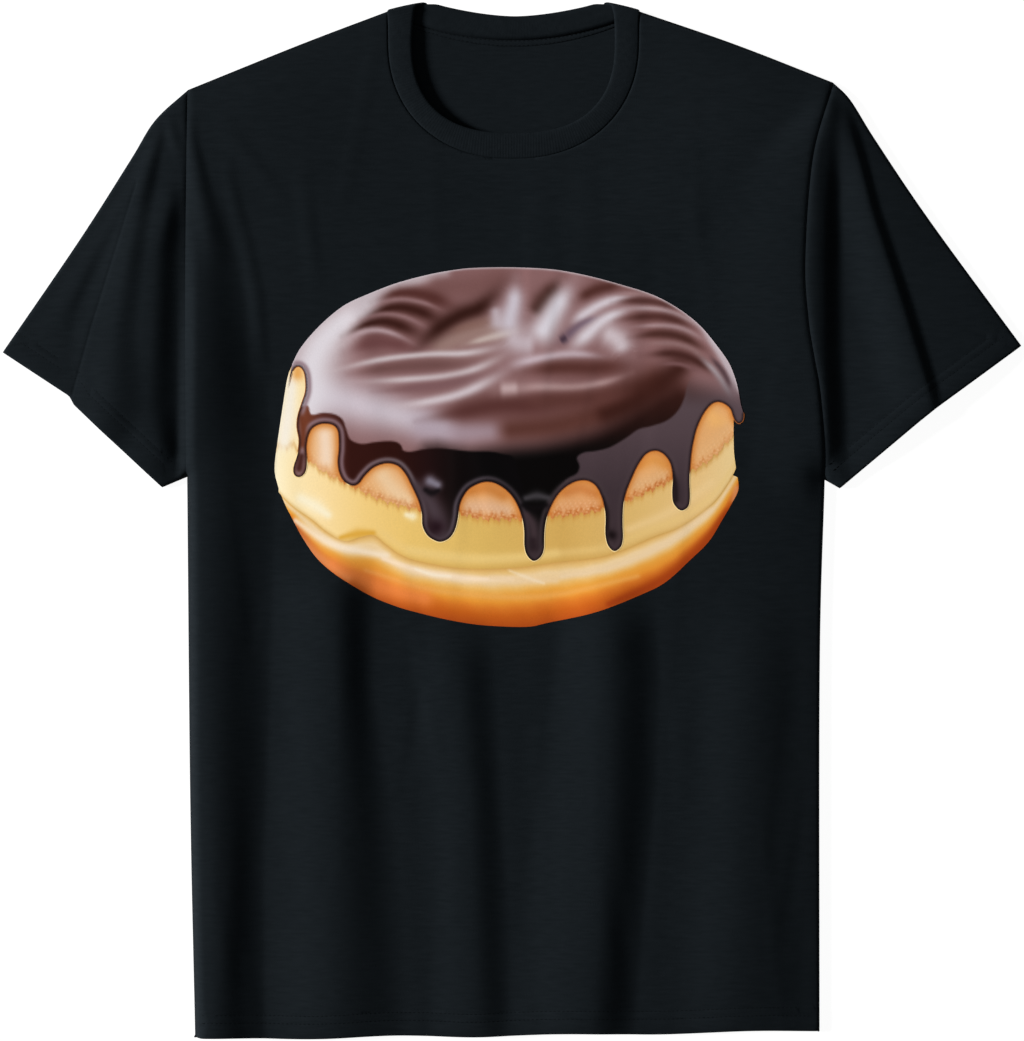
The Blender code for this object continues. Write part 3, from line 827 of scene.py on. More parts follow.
class Nodes:
    """Short way to build a material's node tree around one Principled shader."""

    def __init__(self, name: str) -> None:
        """Start a material that holds a Principled shader and its output.

        Args:
            name: the material's name.
        """
        self.material = bpy.data.materials.new(name)
        self.material.use_nodes = True
        self.tree = self.material.node_tree
        self.shader = self.tree.nodes["Principled BSDF"]

    def set(self, **values: object) -> None:
        """Set the shader's own sockets; an underscore stands for a space."""
        for key, value in values.items():
            self.shader.inputs[key.replace("_", " ")].default_value = value

    def add(self, kind: str, **values: object) -> bpy.types.Node:
        """Add a node and set its properties.

        Args:
            kind: Blender's name for the node.
            values: its properties.

        Returns:
            The node.
        """
        node = self.tree.nodes.new(kind)
        for key, value in values.items():
            setattr(node, key, value)
        return node

    def link(self, start: Socket, end: Socket) -> None:
        """Join two sockets."""
        self.tree.links.new(start, end)

    def scaled(self, scale: Colour, turn: float = 0.0) -> Socket:
        """Object coordinates times a scale, after a turn about Z.

        Args:
            scale: factor for each axis.
            turn: angle in radians.

        Returns:
            The coordinates.
        """
        place = self.add("ShaderNodeTexCoord")
        mapping = self.add("ShaderNodeMapping")
        mapping.inputs["Scale"].default_value = scale
        mapping.inputs["Rotation"].default_value = (0, 0, turn)
        self.link(place.outputs["Object"], mapping.inputs["Vector"])
        return mapping.outputs["Vector"]

    def noise(self, scale: Colour, detail: float = 2.0, turn: float = 0.0) -> Socket:
        """Noise whose grain is stretched as the scale says, in grains a metre.

        Args:
            scale: grains a metre along each axis.
            detail: levels of finer grain.
            turn: angle of the grain in radians.

        Returns:
            The noise, from 0 to 1.
        """
        texture = self.add("ShaderNodeTexNoise")
        texture.inputs["Scale"].default_value = 1.0
        texture.inputs["Detail"].default_value = detail
        self.link(self.scaled(scale, turn), texture.inputs["Vector"])
        return texture.outputs["Fac"]

    def dress(self, colour: Socket, roughness: float, specular: float) -> bpy.types.Material:
        """Give the shader its colour and its dullness, and hand over the material.

        Args:
            colour: the base colour.
            roughness, specular: the shader's own values.

        Returns:
            The material.
        """
        self.link(colour, self.shader.inputs["Base Color"])
        self.set(Roughness=roughness, Specular_IOR_Level=specular)
        return self.material

    def ramp(self, value: Socket, stops: tuple[tuple[float, Colour], ...]) -> Socket:
        """Colour that a value picks between stops.

        Args:
            value: picks the colour.
            stops: values with their colours.

        Returns:
            The colour.
        """
        node = self.add("ShaderNodeValToRGB")
        elements = node.color_ramp.elements
        elements[0].position, elements[0].color = stops[0][0], (*stops[0][1], 1)
        elements[1].position, elements[1].color = stops[-1][0], (*stops[-1][1], 1)
        for position, colour in stops[1:-1]:
            elements.new(position).color = (*colour, 1)
        self.link(value, node.inputs["Fac"])
        return node.outputs["Color"]

    def multiplied(self, first: Socket, second: Socket) -> Socket:
        """Product of two colours.

        Args:
            first, second: the colours.

        Returns:
            The product.
        """
        node = self.add("ShaderNodeMix", data_type="RGBA", blend_type="MULTIPLY")
        node.inputs[0].default_value = 1.0
        self.link(first, node.inputs[6])
        self.link(second, node.inputs[7])
        return node.outputs[2]

    def weighed(self, first: Socket, weight: float, second: Socket) -> Socket:
        """First value times a weight, plus the second.

        Args:
            first, second: the values.
            weight: factor for the first one.

        Returns:
            The sum.
        """
        node = self.add("ShaderNodeMath", operation="MULTIPLY_ADD")
        self.link(first, node.inputs[0])
        node.inputs[1].default_value = weight
        self.link(second, node.inputs[2])
        return node.outputs[0]

    def bump(self, height: Socket, distance: float, strength: float = 1.0) -> None:
        """Relief on the shader's normal.

        Args:
            height: the relief, from 0 to 1.
            distance: its depth in metres.
            strength: share of the depth that shows.
        """
        node = self.add("ShaderNodeBump")
        node.inputs["Distance"].default_value = distance
        node.inputs["Strength"].default_value = strength
        self.link(height, node.inputs["Height"])
        self.link(node.outputs["Normal"], self.shader.inputs["Normal"])


@dataclass(frozen=True)
class Jersey:
    """Black single jersey: faint slubs across, fine wales along, and a soft dull face."""

    name: str = "black_jersey"
    dark: Colour = (0.0053, 0.0074, 0.0091)
    light: Colour = (0.0075, 0.0101, 0.0123)
    roughness: float = 0.88
    specular: float = 0.03
    relief_share: float = 0.5
    slubs: Colour = (95.0, 640.0, 60.0)
    patches: Colour = (14.0, 10.0, 10.0)
    knit: Colour = (1300.0, 1700.0, 1300.0)
    knit_depth: float = 0.00022
    slub_share: float = 0.5
    patch_share: float = 0.35
    tone_range: tuple[float, float] = (0.42, 0.92)

    def material(self) -> bpy.types.Material:
        """Build the material.

        Returns:
            The material.
        """
        nodes = Nodes(self.name)
        slubs = nodes.noise(self.slubs, 3.0)
        patches = nodes.noise(self.patches)
        knit = nodes.noise(self.knit)
        tone = nodes.weighed(patches, self.patch_share, slubs)
        nodes.bump(nodes.weighed(slubs, self.slub_share, knit), self.knit_depth, self.relief_share)
        colour = nodes.ramp(tone, tuple(zip(self.tone_range, (self.dark, self.light))))
        return nodes.dress(colour, self.roughness, self.specular)


@dataclass(frozen=True)
class Thread:
    """Black sewing thread, a little darker than the cloth."""

    name: str = "black_thread"
    colour: Colour = (0.0030, 0.0040, 0.0048)
    roughness: float = 0.85
    specular: float = 0.03
    twist: Colour = (900.0, 900.0, 900.0)
    twist_depth: float = 0.0001
    relief_share: float = 0.5
    light_gain: float = 1.3
    tone_range: tuple[float, float] = (0.35, 0.7)

    def material(self) -> bpy.types.Material:
        """Build the material.

        Returns:
            The material.
        """
        nodes = Nodes(self.name)
        twist = nodes.noise(self.twist, 1.0)
        light = tuple(self.light_gain * channel for channel in self.colour)
        nodes.bump(twist, self.twist_depth, self.relief_share)
        colour = nodes.ramp(twist, tuple(zip(self.tone_range, (self.colour, light))))
        return nodes.dress(colour, self.roughness, self.specular)


@dataclass(frozen=True)
class Hem:
    """A turned-up hem: a thicker band with two rows of stitching sunk into it."""

    rows: tuple[float, float]
    relief: float = 0.00018
    groove: float = 0.00018
    groove_width: float = 0.0007
    band_margin: float = 0.0005
    band_step: float = 0.002
    edge_round: float = 0.0007
    edge_width: float = 0.0008
    edge_rows: tuple[float, ...] = (0.0004, 0.0009, 0.0018)
    beside: float = 0.0008

    def lift(self, away: Array) -> Array:
        """Height that the hem adds at a distance from its edge.

        Args:
            away: distance from the edge at each place.

        Returns:
            The height there, below zero where a row or the edge sinks in.
        """
        band = self.relief * smooth_step((self.rows[1] + self.band_margin - away) / self.band_step)
        sunk = sum(self.groove * bell(away - row, self.groove_width) for row in self.rows)
        return band - sunk - self.edge_round * bell(away, self.edge_width)

    def point_rows(self) -> tuple[float, ...]:
        """Distances from the edge at which a panel needs rows of points."""
        shifts = (-self.beside, 0.0, self.beside)
        return self.edge_rows + tuple(row + shift for row in self.rows for shift in shifts)


@dataclass
class Body:
    """Front and back panels of the shirt's body."""

    pattern: Pattern
    drape: Drape
    cloth: float = 0.0009
    seam_gap: float = -0.0006
    neck_groove: float = 0.0007
    neck_groove_width: float = 0.0008
    armhole_groove: float = 0.0008
    groove_width: float = 0.0016
    hem: Hem = Hem((0.0106, 0.0160))
    row_margin: float = 0.0050
    row_points: int = 240
    lattice: Lattice = Lattice()
    back_lattice: Lattice = Lattice(0.005, 0.008)
    back_step: float = 0.003
    round_rows: tuple[float, ...] = (0.0003, 0.0008, 0.0015, 0.0023, 0.0036)
    groove_rows: tuple[float, ...] = (0.0005, 0.0011, 0.0019)

    def front_height(self, x: Array, y: Array) -> Array:
        """Height of the front panel's outer face, with its seams and hem.

        Args:
            x, y: places on the plan.

        Returns:
            The height at each place.
        """
        pattern = self.pattern
        z = self.drape.height(x, y) - self.drape.edge_drop(x, y)
        from_neck = pattern.front_neck(self.seam_gap).distance(x, y)
        z -= self.neck_groove * bell(from_neck, self.neck_groove_width)
        for side in Side:
            z -= self.armhole_groove * bell(pattern.armhole(side).distance(x, y), self.groove_width)
        return z + self.hem.lift(y - pattern.hem(x))

    def hem_row(self, up: float) -> Route:
        """Line along the front of the hem, at a height above its edge.

        Args:
            up: height above the hem's edge.

        Returns:
            The line, from left to right.
        """
        left = self.pattern.side(Side.LEFT).points[-1][0] + self.row_margin
        right = self.pattern.side(Side.RIGHT).points[-1][0] - self.row_margin
        x = np.linspace(left, right, self.row_points)
        return Route.through(x, self.pattern.hem(x) + up)

    def build(self) -> list[bpy.types.Object]:
        """Make both panels.

        Returns:
            Front panel and back panel.
        """
        pattern = self.pattern
        step = self.lattice.step_x
        closed = tuple(EdgeRows(edge.spaced(step), self.round_rows) for edge in pattern.closed_edges())
        neck = pattern.front_neck(self.seam_gap)
        rows = closed + (
            EdgeRows(neck, self.groove_rows),
            EdgeRows(pattern.armhole(Side.LEFT).spaced(step), self.groove_rows),
            EdgeRows(pattern.armhole(Side.RIGHT).spaced(step), self.groove_rows),
            EdgeRows(pattern.hem_line(step), self.hem.point_rows()),
        )
        plan = self.lattice.plan(pattern.body_outline(neck, step), rows)
        front = sheet_object("front_panel", plan, self.front_height(plan.x, plan.y), Layer.UPPER)
        thicken(front, self.cloth)
        outline = pattern.body_outline(pattern.back_neck(self.seam_gap), self.back_step)
        plan = self.back_lattice.plan(outline, closed)
        back = sheet_object("back_panel", plan, self.drape.edge_drop(plan.x, plan.y), Layer.LOWER)
        thicken(back, self.cloth)
        return [front, back]


@dataclass
class Sleeve:
    """A short sleeve: one flattened tube, open at the cuff and where it joins the body."""

    pattern: Pattern
    drape: Drape
    side: Side
    cloth: float = 0.0009
    tuck: float = 0.0013
    tuck_reach: float = 0.0030
    tuck_step: float = 0.0010
    groove: float = 0.0008
    groove_width: float = 0.0016
    hem: Hem = Hem((0.0125, 0.0175))
    row_margin: float = 0.0050
    row_step: float = 0.001
    creases: tuple[Crease, ...] = ()
    lattice: Lattice = Lattice(0.0020, 0.0034)
    round_rows: tuple[float, ...] = (0.0003, 0.0008, 0.0015, 0.0023, 0.0036)
    armhole_rows: tuple[float, ...] = (0.0005, 0.0012, 0.0020)
    crease_rows: tuple[float, ...] = (0.0003, 0.0010, 0.0018)

    def upper_height(self, x: Array, y: Array) -> Array:
        """Height of the upper layer's outer face.

        Args:
            x, y: places on the plan.

        Returns:
            The height at each place.
        """
        z = self.drape.height(x, y) - self.drape.edge_drop(x, y)
        inward = self.pattern.into_body(self.side, x, y)
        z -= self.groove * bell(inward, self.groove_width)
        z -= self.tuck * smooth_step(inward / self.tuck_step)
        z -= sum(crease.drop(x, y) for crease in self.creases)
        return z + self.hem.lift(self.pattern.cuff(self.side).distance(x, y))

    def cuff_row(self, inward: float) -> Route:
        """Line along the upper layer of the cuff, at a distance from its edge.

        Args:
            inward: distance from the cuff's edge.

        Returns:
            The line, from the sleeve's tip.
        """
        pattern = self.pattern
        line = pattern.cuff(self.side).spaced(self.row_step).moved(-self.side.value * inward)
        x, y = np.array(line.points).T
        kept = pattern.sleeve_outline(self.side, 0.0, self.lattice.step_x).holds(x, y)
        for edge in (pattern.overarm(self.side), pattern.underarm(self.side)):
            kept &= edge.distance(x, y) > self.row_margin
        return Route.through(x[kept], y[kept])

    def build(self) -> bpy.types.Object:
        """Make the sleeve as one tube.

        Returns:
            The tube.
        """
        step = self.lattice.step_x
        pattern = self.pattern
        edges = (pattern.overarm(self.side), pattern.underarm(self.side))
        closed = tuple(EdgeRows(edge.spaced(step), self.round_rows) for edge in edges)
        rows = closed + (EdgeRows(pattern.cuff(self.side).spaced(step), self.hem.point_rows()),
                         EdgeRows(pattern.armhole(self.side).spaced(step), self.armhole_rows))
        rows += tuple(EdgeRows(crease.line.spaced(step), self.crease_rows) for crease in self.creases)
        plan = self.lattice.plan(pattern.sleeve_outline(self.side, -self.tuck_reach, step), rows)
        upper = self.upper_height(plan.x, plan.y)
        inward = pattern.into_body(self.side, plan.x, plan.y)
        lower = self.drape.edge_drop(plan.x, plan.y) + self.tuck * smooth_step(inward / self.tuck_step)
        near = np.minimum(edges[0].distance(plan.x, plan.y), edges[1].distance(plan.x, plan.y))
        shared = near < SAME_PLACE
        count = len(plan.x)
        numbers = np.where(shared, np.arange(count), count + np.cumsum(~shared) - 1)
        top = np.stack((plan.x, plan.y, upper), axis=1)
        bottom = np.stack((plan.x, plan.y, lower), axis=1)[~shared]
        under = [[int(numbers[corner]) for corner in corners[::-1]] for corners in plan.triangles]
        name = f"sleeve_{self.side.name.lower()}_tube"
        sleeve = new_object(name, np.concatenate((top, bottom)), list(plan.triangles) + under)
        thicken(sleeve, self.cloth)
        return sleeve


Station = tuple[Array, Array]


@dataclass
class RibCollar:
    """Knitted rib round the neck, folded over at both shoulders.

    A station is a place on the seam and the place on the free edge across from it.
    """

    pattern: Pattern
    drape: Drape
    thickness: float = 0.0017
    crown: float = 0.0003
    stand: float = 0.0003
    back_level: float = 0.0012
    fold_radius: float = 0.0017
    rib_pitch: float = 0.0019
    rib_depth: float = 0.00003
    points_a_rib: int = 6
    scoop_points: int = 24
    seam_ends: tuple[Point, Point] = ((-0.0856, 0.3486), (0.0876, 0.3486))
    free_ends: tuple[Point, Point] = ((-0.0664, 0.3516), (0.0686, 0.3518))
    seam_top_y: float = 0.3400
    free_top_y: float = 0.3445
    free_top_in: tuple[float, float] = (0.0010, 0.0004)
    settle_length: float = 0.006
    back_points: int = 21
    back_end_share: float = 0.012
    back_seam_x: tuple[float, float] = (0.0874, -0.0854)
    back_free_x: tuple[float, float] = (0.0642, -0.0594)
    back_seam_top: float = 0.3483
    back_free_top: float = 0.3546
    turn_angles: tuple[int, ...] = (60, 30, 0, -30, -60)
    curve_cuts: int = 12
    # Cross-section: steps up at the seam (offset, level and relief), face, rounded edge and underside
    seam_profile: tuple[tuple[float, float, float], ...] = (
        (0.0, -0.6, 0.0), (0.0003, 0.35, 0.4), (0.0008, 0.85, 1.0), (0.0016, 1.0, 1.0))
    face_shares: tuple[float, ...] = (0.25, 0.42, 0.58, 0.75, 0.88)
    edge_angles: tuple[int, ...] = (30, 60, 90, 120, 150)
    under_shares: tuple[float, ...] = (0.8, 0.5, 0.2)

    def front_stations(self) -> list[Station]:
        """Stations across the front, from left to right.

        Returns:
            The stations, each with its height.
        """
        pattern = self.pattern
        seam = pattern.scoop(pattern.seam_half_width, pattern.seam_drop,
                             pattern.seam_squareness, self.scoop_points).points
        free = pattern.scoop(pattern.free_half_width, pattern.free_drop,
                             pattern.free_squareness, self.scoop_points).points
        seam_tops = [(seam[0][0], self.seam_top_y), (seam[-1][0], self.seam_top_y)]
        free_tops = [(free[0][0] + self.free_top_in[0], self.free_top_y),
                     (free[-1][0] - self.free_top_in[1], self.free_top_y)]
        seam = [self.seam_ends[0], seam_tops[0], *seam, seam_tops[1], self.seam_ends[1]]
        free = [self.free_ends[0], free_tops[0], *free, free_tops[1], self.free_ends[1]]
        stations = []
        top = 2 * self.fold_radius + self.back_level
        for outer, inner in zip(seam, free):
            level = float(self.drape.height(np.array(outer[0]), np.array(outer[1]))) - self.thickness / 2
            nearest = min(math.dist(point, end) for point in (outer, inner)
                          for end in (*self.seam_ends, *self.free_ends))
            share = math.exp(-nearest / self.settle_length)
            outer_z = level + (top - level) * share
            inner_z = level + self.stand + (top - level - self.stand) * share
            stations.append((np.array((*outer, outer_z)), np.array((*inner, inner_z))))
        return stations

    def back_stations(self) -> list[Station]:
        """Stations across the back, from right to left.

        Returns:
            The stations, each with its height.
        """
        pattern = self.pattern
        stations = []
        middle = (pattern.peak_right[0] + pattern.peak_left[0]) / 2
        half = (pattern.peak_right[0] - pattern.peak_left[0]) / 2
        for share in np.linspace(self.back_end_share, 1 - self.back_end_share, self.back_points):
            outer_x = self.back_seam_x[0] + (self.back_seam_x[1] - self.back_seam_x[0]) * share
            inner_x = self.back_free_x[0] + (self.back_free_x[1] - self.back_free_x[0]) * share
            away = abs(inner_x - middle) / half
            inner_y = pattern.back_top_y + pattern.back_top_rise * away ** pattern.back_top_power
            outer_y = float(pattern.back_seam(np.array(outer_x)))
            stations.append((np.array((outer_x, min(outer_y, self.back_seam_top), self.back_level)),
                             np.array((inner_x, min(inner_y, self.back_free_top), self.back_level))))
        return stations

    def turn(self, front: Station, back: Station) -> list[Station]:
        """Half circle by which the band passes from one layer to the other at a shoulder.

        Args:
            front: last station of the upper layer.
            back: nearest station of the lower one.

        Returns:
            Stations on the half circle, from the upper layer to the lower one.
        """
        across = front[1] - front[0]
        outward = np.array((across[1], -across[0], 0.0))
        outward *= math.copysign(1, outward[1]) / np.linalg.norm(outward)
        stations = []
        for angle in np.radians(self.turn_angles):
            share = (1 - math.sin(angle)) / 2
            push = outward * math.cos(angle) * self.fold_radius
            stations.append(tuple(high * (1 - share) + low * share + push
                                  for high, low in zip(front, back)))
        return stations

    def rings(self) -> Station:
        """Seam and free edge once round the neck, at the spacing of the ribs.

        Returns:
            Two closed rows of places, of equal length.
        """
        front = self.front_stations()
        back = self.back_stations()
        stations = front + self.turn(front[-1], back[0]) + back + self.turn(front[0], back[-1])[::-1]
        held = np.array([np.concatenate(station) for station in stations])
        dense = []
        for index in range(len(held)):
            four = [held[(index + shift) % len(held)] for shift in (-1, 0, 1, 2)]
            dense += [curve_point(*four, cut / self.curve_cuts) for cut in range(self.curve_cuts)]
        dense = np.array(dense + [dense[0]])
        middle = (dense[:, :3] + dense[:, 3:]) / 2
        walked = np.concatenate(([0], np.cumsum(np.linalg.norm(np.diff(middle, axis=0), axis=1))))
        ribs = round(walked[-1] / self.rib_pitch)
        wanted = np.linspace(0, walked[-1], ribs * self.points_a_rib, endpoint=False)
        ring = np.stack([np.interp(wanted, walked, dense[:, column]) for column in range(6)], axis=1)
        return ring[:, :3], ring[:, 3:]

    def build(self) -> bpy.types.Object:
        """Make the band as one closed loop with relief of ribs.

        Returns:
            The band.
        """
        seam, free = self.rings()
        count = len(seam)
        middle = (seam + free) / 2
        along = np.roll(middle, -2, axis=0) - np.roll(middle, 2, axis=0)
        across = free - seam
        width = np.linalg.norm(across, axis=1, keepdims=True)
        across = across / width
        normal = np.cross(along, across)
        normal /= np.linalg.norm(normal, axis=1, keepdims=True)
        half = self.thickness / 2
        rib = np.cos(np.arange(count) / self.points_a_rib * math.tau)[:, None] * self.rib_depth
        loop = []
        for offset, level, relief in self.seam_profile:
            loop.append(seam + across * offset + normal * (half * level + rib * relief))
        for share in self.face_shares:
            bulge = self.crown * math.sin(math.pi * share)
            loop.append(seam + across * width * share + normal * (half + bulge + rib))
        for angle in np.radians(self.edge_angles):
            forward, up = math.sin(angle), math.cos(angle)
            ridge = 1 + rib / half * max(up, 0)
            loop.append(seam + across * (width - half + half * forward) + normal * half * up * ridge)
        for share in self.under_shares:
            loop.append(seam + across * width * share - normal * (half - rib * 0.5))
        vertices = np.stack(loop, axis=1).reshape(-1, 3)
        faces = [[corner % len(vertices) for corner in face]
                 for face in ring_faces(0, len(vertices), len(loop))]
        return new_object("rib_collar", vertices, faces)


@dataclass
class NeckTape:
    """Thin tape sewn over the seam at the back of the neck."""

    pattern: Pattern
    half_length: float = 0.0730
    width: float = 0.0047
    end_narrowing: float = 0.55
    stitch_shares: tuple[float, float] = (0.16, 0.84)
    foot: float = 0.0007
    top: float = 0.0013
    step: float = 0.0010
    row_margin: float = 0.002
    row_points: int = 120
    # Cross-section, as shares of the width and of the rise from foot to top
    profile: tuple[Point, ...] = ((0.15, 0.0), (0.85, 0.0), (1.0, 0.0), (0.97, 0.7), (0.90, 1.0),
                                  (0.10, 1.0), (0.03, 0.7), (0.0, 0.0))

    def breadth(self, x: Array) -> Array:
        """Width of the tape that shows at places across the neck."""
        share = (x - self.pattern.neck_middle_x) / self.pattern.seam_half_width
        return self.width * (1 - self.end_narrowing * share ** 2)

    def row(self, share: float) -> Route:
        """Line along the tape at a share of its width.

        Args:
            share: 0 at the tape's upper edge and 1 at its lower one.

        Returns:
            The line.
        """
        reach = self.half_length - self.row_margin
        x = self.pattern.neck_middle_x + np.linspace(-reach, reach, self.row_points)
        return Route.through(x, self.pattern.back_seam(x) - self.breadth(x) * share)

    def surface(self, x: Array, y: Array) -> Array:
        """Height of the tape's upper face."""
        return np.full(np.shape(x), self.top)

    def build(self) -> bpy.types.Object:
        """Make the tape as one closed strip.

        Returns:
            The strip.
        """
        columns = round(2 * self.half_length / self.step) + 1
        x = self.pattern.neck_middle_x + np.linspace(-self.half_length, self.half_length, columns)
        upper = self.pattern.back_seam(x)
        rows = []
        for across, rise in self.profile:
            height = np.full(columns, self.foot + (self.top - self.foot) * rise)
            rows.append(np.stack((x, upper - self.breadth(x) * across, height), axis=1))
        vertices = np.stack(rows, axis=1).reshape(-1, 3)
        sides = len(rows)
        last = len(vertices) - sides
        ends = [list(range(sides)), list(range(last, last + sides))[::-1]]
        faces = ends + ring_faces(0, last, sides)
        return new_object("neck_tape_strip", vertices, faces)


@dataclass(frozen=True)
class StitchRow:
    """A line of stitches and the cloth's height along it."""

    line: Route
    surface: Callable[[Array, Array], Array]


@dataclass
class Stitching:
    """Machine stitches: short rounded threads that lie on the cloth and dip into it at both ends."""

    pitch: float = 0.0030
    length: float = 0.0023
    width: float = 0.00046
    height: float = 0.00026
    reach: float = 0.0001
    sides: int = 6
    sections: tuple[tuple[float, float, float], ...] = (
        (-0.5, 0.15, -0.5), (-0.36, 0.8, 0.0), (0.0, 1.0, 0.25), (0.36, 0.8, 0.0), (0.5, 0.15, -0.5))

    def build(self, name: str, rows: list[StitchRow]) -> bpy.types.Object:
        """Make all the stitches of some rows as one piece.

        Args:
            name: name of the piece.
            rows: where the stitches run.

        Returns:
            The threads.
        """
        angles = np.arange(self.sides) / self.sides * math.tau
        shares, girths, lifts = np.array(self.sections).T
        rings = []
        for row in rows:
            middles = (np.arange(int(row.line.length() / self.pitch)) + 0.5) * self.pitch
            places = (middles[:, None] + shares * self.length).ravel()
            x, y = row.line.at(places)
            run = np.subtract(row.line.at(places + self.reach), row.line.at(places - self.reach))
            run = (run / np.linalg.norm(run, axis=0))[:, :, None]
            girth = np.tile(girths, len(middles))[:, None]
            level = row.surface(x, y) + np.tile(lifts, len(middles)) * self.height
            side = np.cos(angles) * self.width / 2 * girth
            rise = np.sin(angles) * self.height / 2 * girth
            rings.append(np.stack((x[:, None] - run[1] * side, y[:, None] + run[0] * side,
                                   level[:, None] + rise), axis=2))
        vertices = np.concatenate(rings).reshape(-1, 3)
        a_stitch = len(self.sections) * self.sides
        faces = []
        for first in range(0, len(vertices), a_stitch):
            last = first + a_stitch - self.sides
            faces.append(list(range(first, first + self.sides)))
            faces.append(list(range(last, last + self.sides))[::-1])
            faces += ring_faces(first, last, self.sides)
        return new_object(name, vertices, faces)


MM = 0.001
Places = tuple[tuple[float, float], ...]
Tint = tuple[int, int, int]


def screen_to_linear(tints: Array) -> Array:
    """Turn screen values from 0 to 255 into the linear colours that shaders take."""
    share = np.clip(np.asarray(tints, dtype=float) / 255, 0, 1)
    return np.where(share <= 0.04045, share / 12.92, ((share + 0.055) / 1.055) ** 2.4)


def laid_over(tints: Array, tint: Array, cover: Array) -> Array:
    """Lay a tint over painted tints, with a cover from 0 to 1 at each place."""
    return tints + (np.asarray(tint, dtype=float) - tints) * cover[:, None]


def graded(value: Array, stops: tuple[tuple[float, Tint], ...]) -> Array:
    """Tint that a value picks between stops.

    Args:
        value: the values.
        stops: values with their tints, from low to high.

    Returns:
        A tint for each value.
    """
    marks = [mark for mark, _ in stops]
    parts = zip(*(tint for _, tint in stops))
    return np.stack([np.interp(value, marks, part) for part in parts], axis=1)


@dataclass(frozen=True)
class Stroke:
    """A soft brush stroke: a tint along a curve, with a width at each of its points (millimetres)."""

    tint: Tint
    widths: tuple[float, ...]
    places: Places
    strength: float = 1.0
    faint_end: float = 0.12

    def over(self, tints: Array, x: Array, y: Array, spread: float = 1.0, fade: float = 0.0) -> Array:
        """Paint the stroke over tints.

        Args:
            tints: what is painted so far.
            x: places in millimetres.
            y: places in millimetres.
            spread: how many times its own widths the stroke is.
            fade: share of its length over which it fades in and out.

        Returns:
            The tints with the stroke over them.
        """
        curve = np.array(Route(self.places).smooth(4).points)
        marks = np.linspace(0, len(self.places) - 1, len(curve))
        widths = np.interp(marks, range(len(self.places)), self.widths) * spread
        marks = marks / marks[-1]
        reach = np.full(x.shape, np.inf)
        along = np.zeros(x.shape)
        for index in range(len(curve) - 1):
            start, run = curve[index], curve[index + 1] - curve[index]
            share = np.clip(((x - start[0]) * run[0] + (y - start[1]) * run[1]) / (run @ run), 0, 1)
            away = np.hypot(x - start[0] - share * run[0], y - start[1] - share * run[1])
            away /= widths[index] + (widths[index + 1] - widths[index]) * share
            along = np.where(away < reach, marks[index] + (marks[index + 1] - marks[index]) * share, along)
            reach = np.minimum(reach, away)
        cover = self.strength * np.exp(-(reach ** 2))
        if fade:
            shown = smooth_step(np.minimum(along, 1 - along) / fade)
            cover = cover * (self.faint_end + (1 - self.faint_end) * shown)
        return laid_over(tints, self.tint, cover)


@dataclass(frozen=True)
class Band:
    """A soft band of tint beside a line: its strength, how far off it runs and its width (millimetres)."""

    tint: Tint
    strength: float
    away: float
    width: float

    def over(self, tints: Array, distance: Array, share: Array | float = 1.0) -> Array:
        """Paint the band over tints.

        Args:
            tints: what is painted so far.
            distance: how far each place is from the line.
            share: share of the band's strength at each place.

        Returns:
            The tints with the band over them.
        """
        return laid_over(tints, self.tint, self.strength * share * bell(distance - self.away, self.width))


@dataclass(frozen=True)
class Field:
    """A closed field of colour, with an edge as crisp or as soft as given (millimetres)."""

    places: Places
    softness: float

    def cover(self, x: Array, y: Array) -> Array:
        """Share of the field at places: 1 inside, 0 outside and between them across the edge.

        Args:
            x, y: places on the print (millimetres).

        Returns:
            A share for each place.
        """
        outline = Route(self.places).ring(5)
        away = outline.closed().distance(x, y)
        signed = np.where(outline.holds(x, y), away, -away)
        return smooth_step(0.5 + signed / self.softness)


# Outlines and curves of the printed doughnut, in millimetres on the shirt
BUN_EDGE: Places = (
    (-150.5, 106), (-153.5, 98), (-156.5, 80), (-159.5, 60), (-162.4, 37), (-160.3, 24.5),
    (-155.4, 11.5), (-150, 0.8), (-143.7, -11), (-134, -25), (-123, -35), (-109.5, -44), (-94.5, -52.5),
    (-78, -59), (-62, -63.5), (-41, -68.3), (-19.4, -71.5), (9.5, -72.6), (25.4, -69.6), (57.6, -62.4),
    (89.7, -50), (105.8, -41.5), (121.8, -27), (134.7, -14.2), (143.5, 0), (150.5, 12), (155, 22),
    (153.5, 34), (151.8, 48), (151.5, 66),
)
GLAZE_TOP: Places = (
    (156.5, 79), (154.5, 90), (152, 99), (147.6, 109), (139, 121), (129.3, 132.6), (118.6, 141.7),
    (105.8, 149.8), (93, 155.7), (75.8, 161), (58.6, 165.8), (41.5, 169.6), (25.4, 172), (0, 173.2),
    (-25.8, 172.8), (-41, 171.2), (-58, 168), (-78.3, 162.6), (-96.5, 155.7), (-113.7, 147.8),
    (-126.5, 138), (-137.2, 127.3), (-145.3, 117), (-150.4, 107),
)
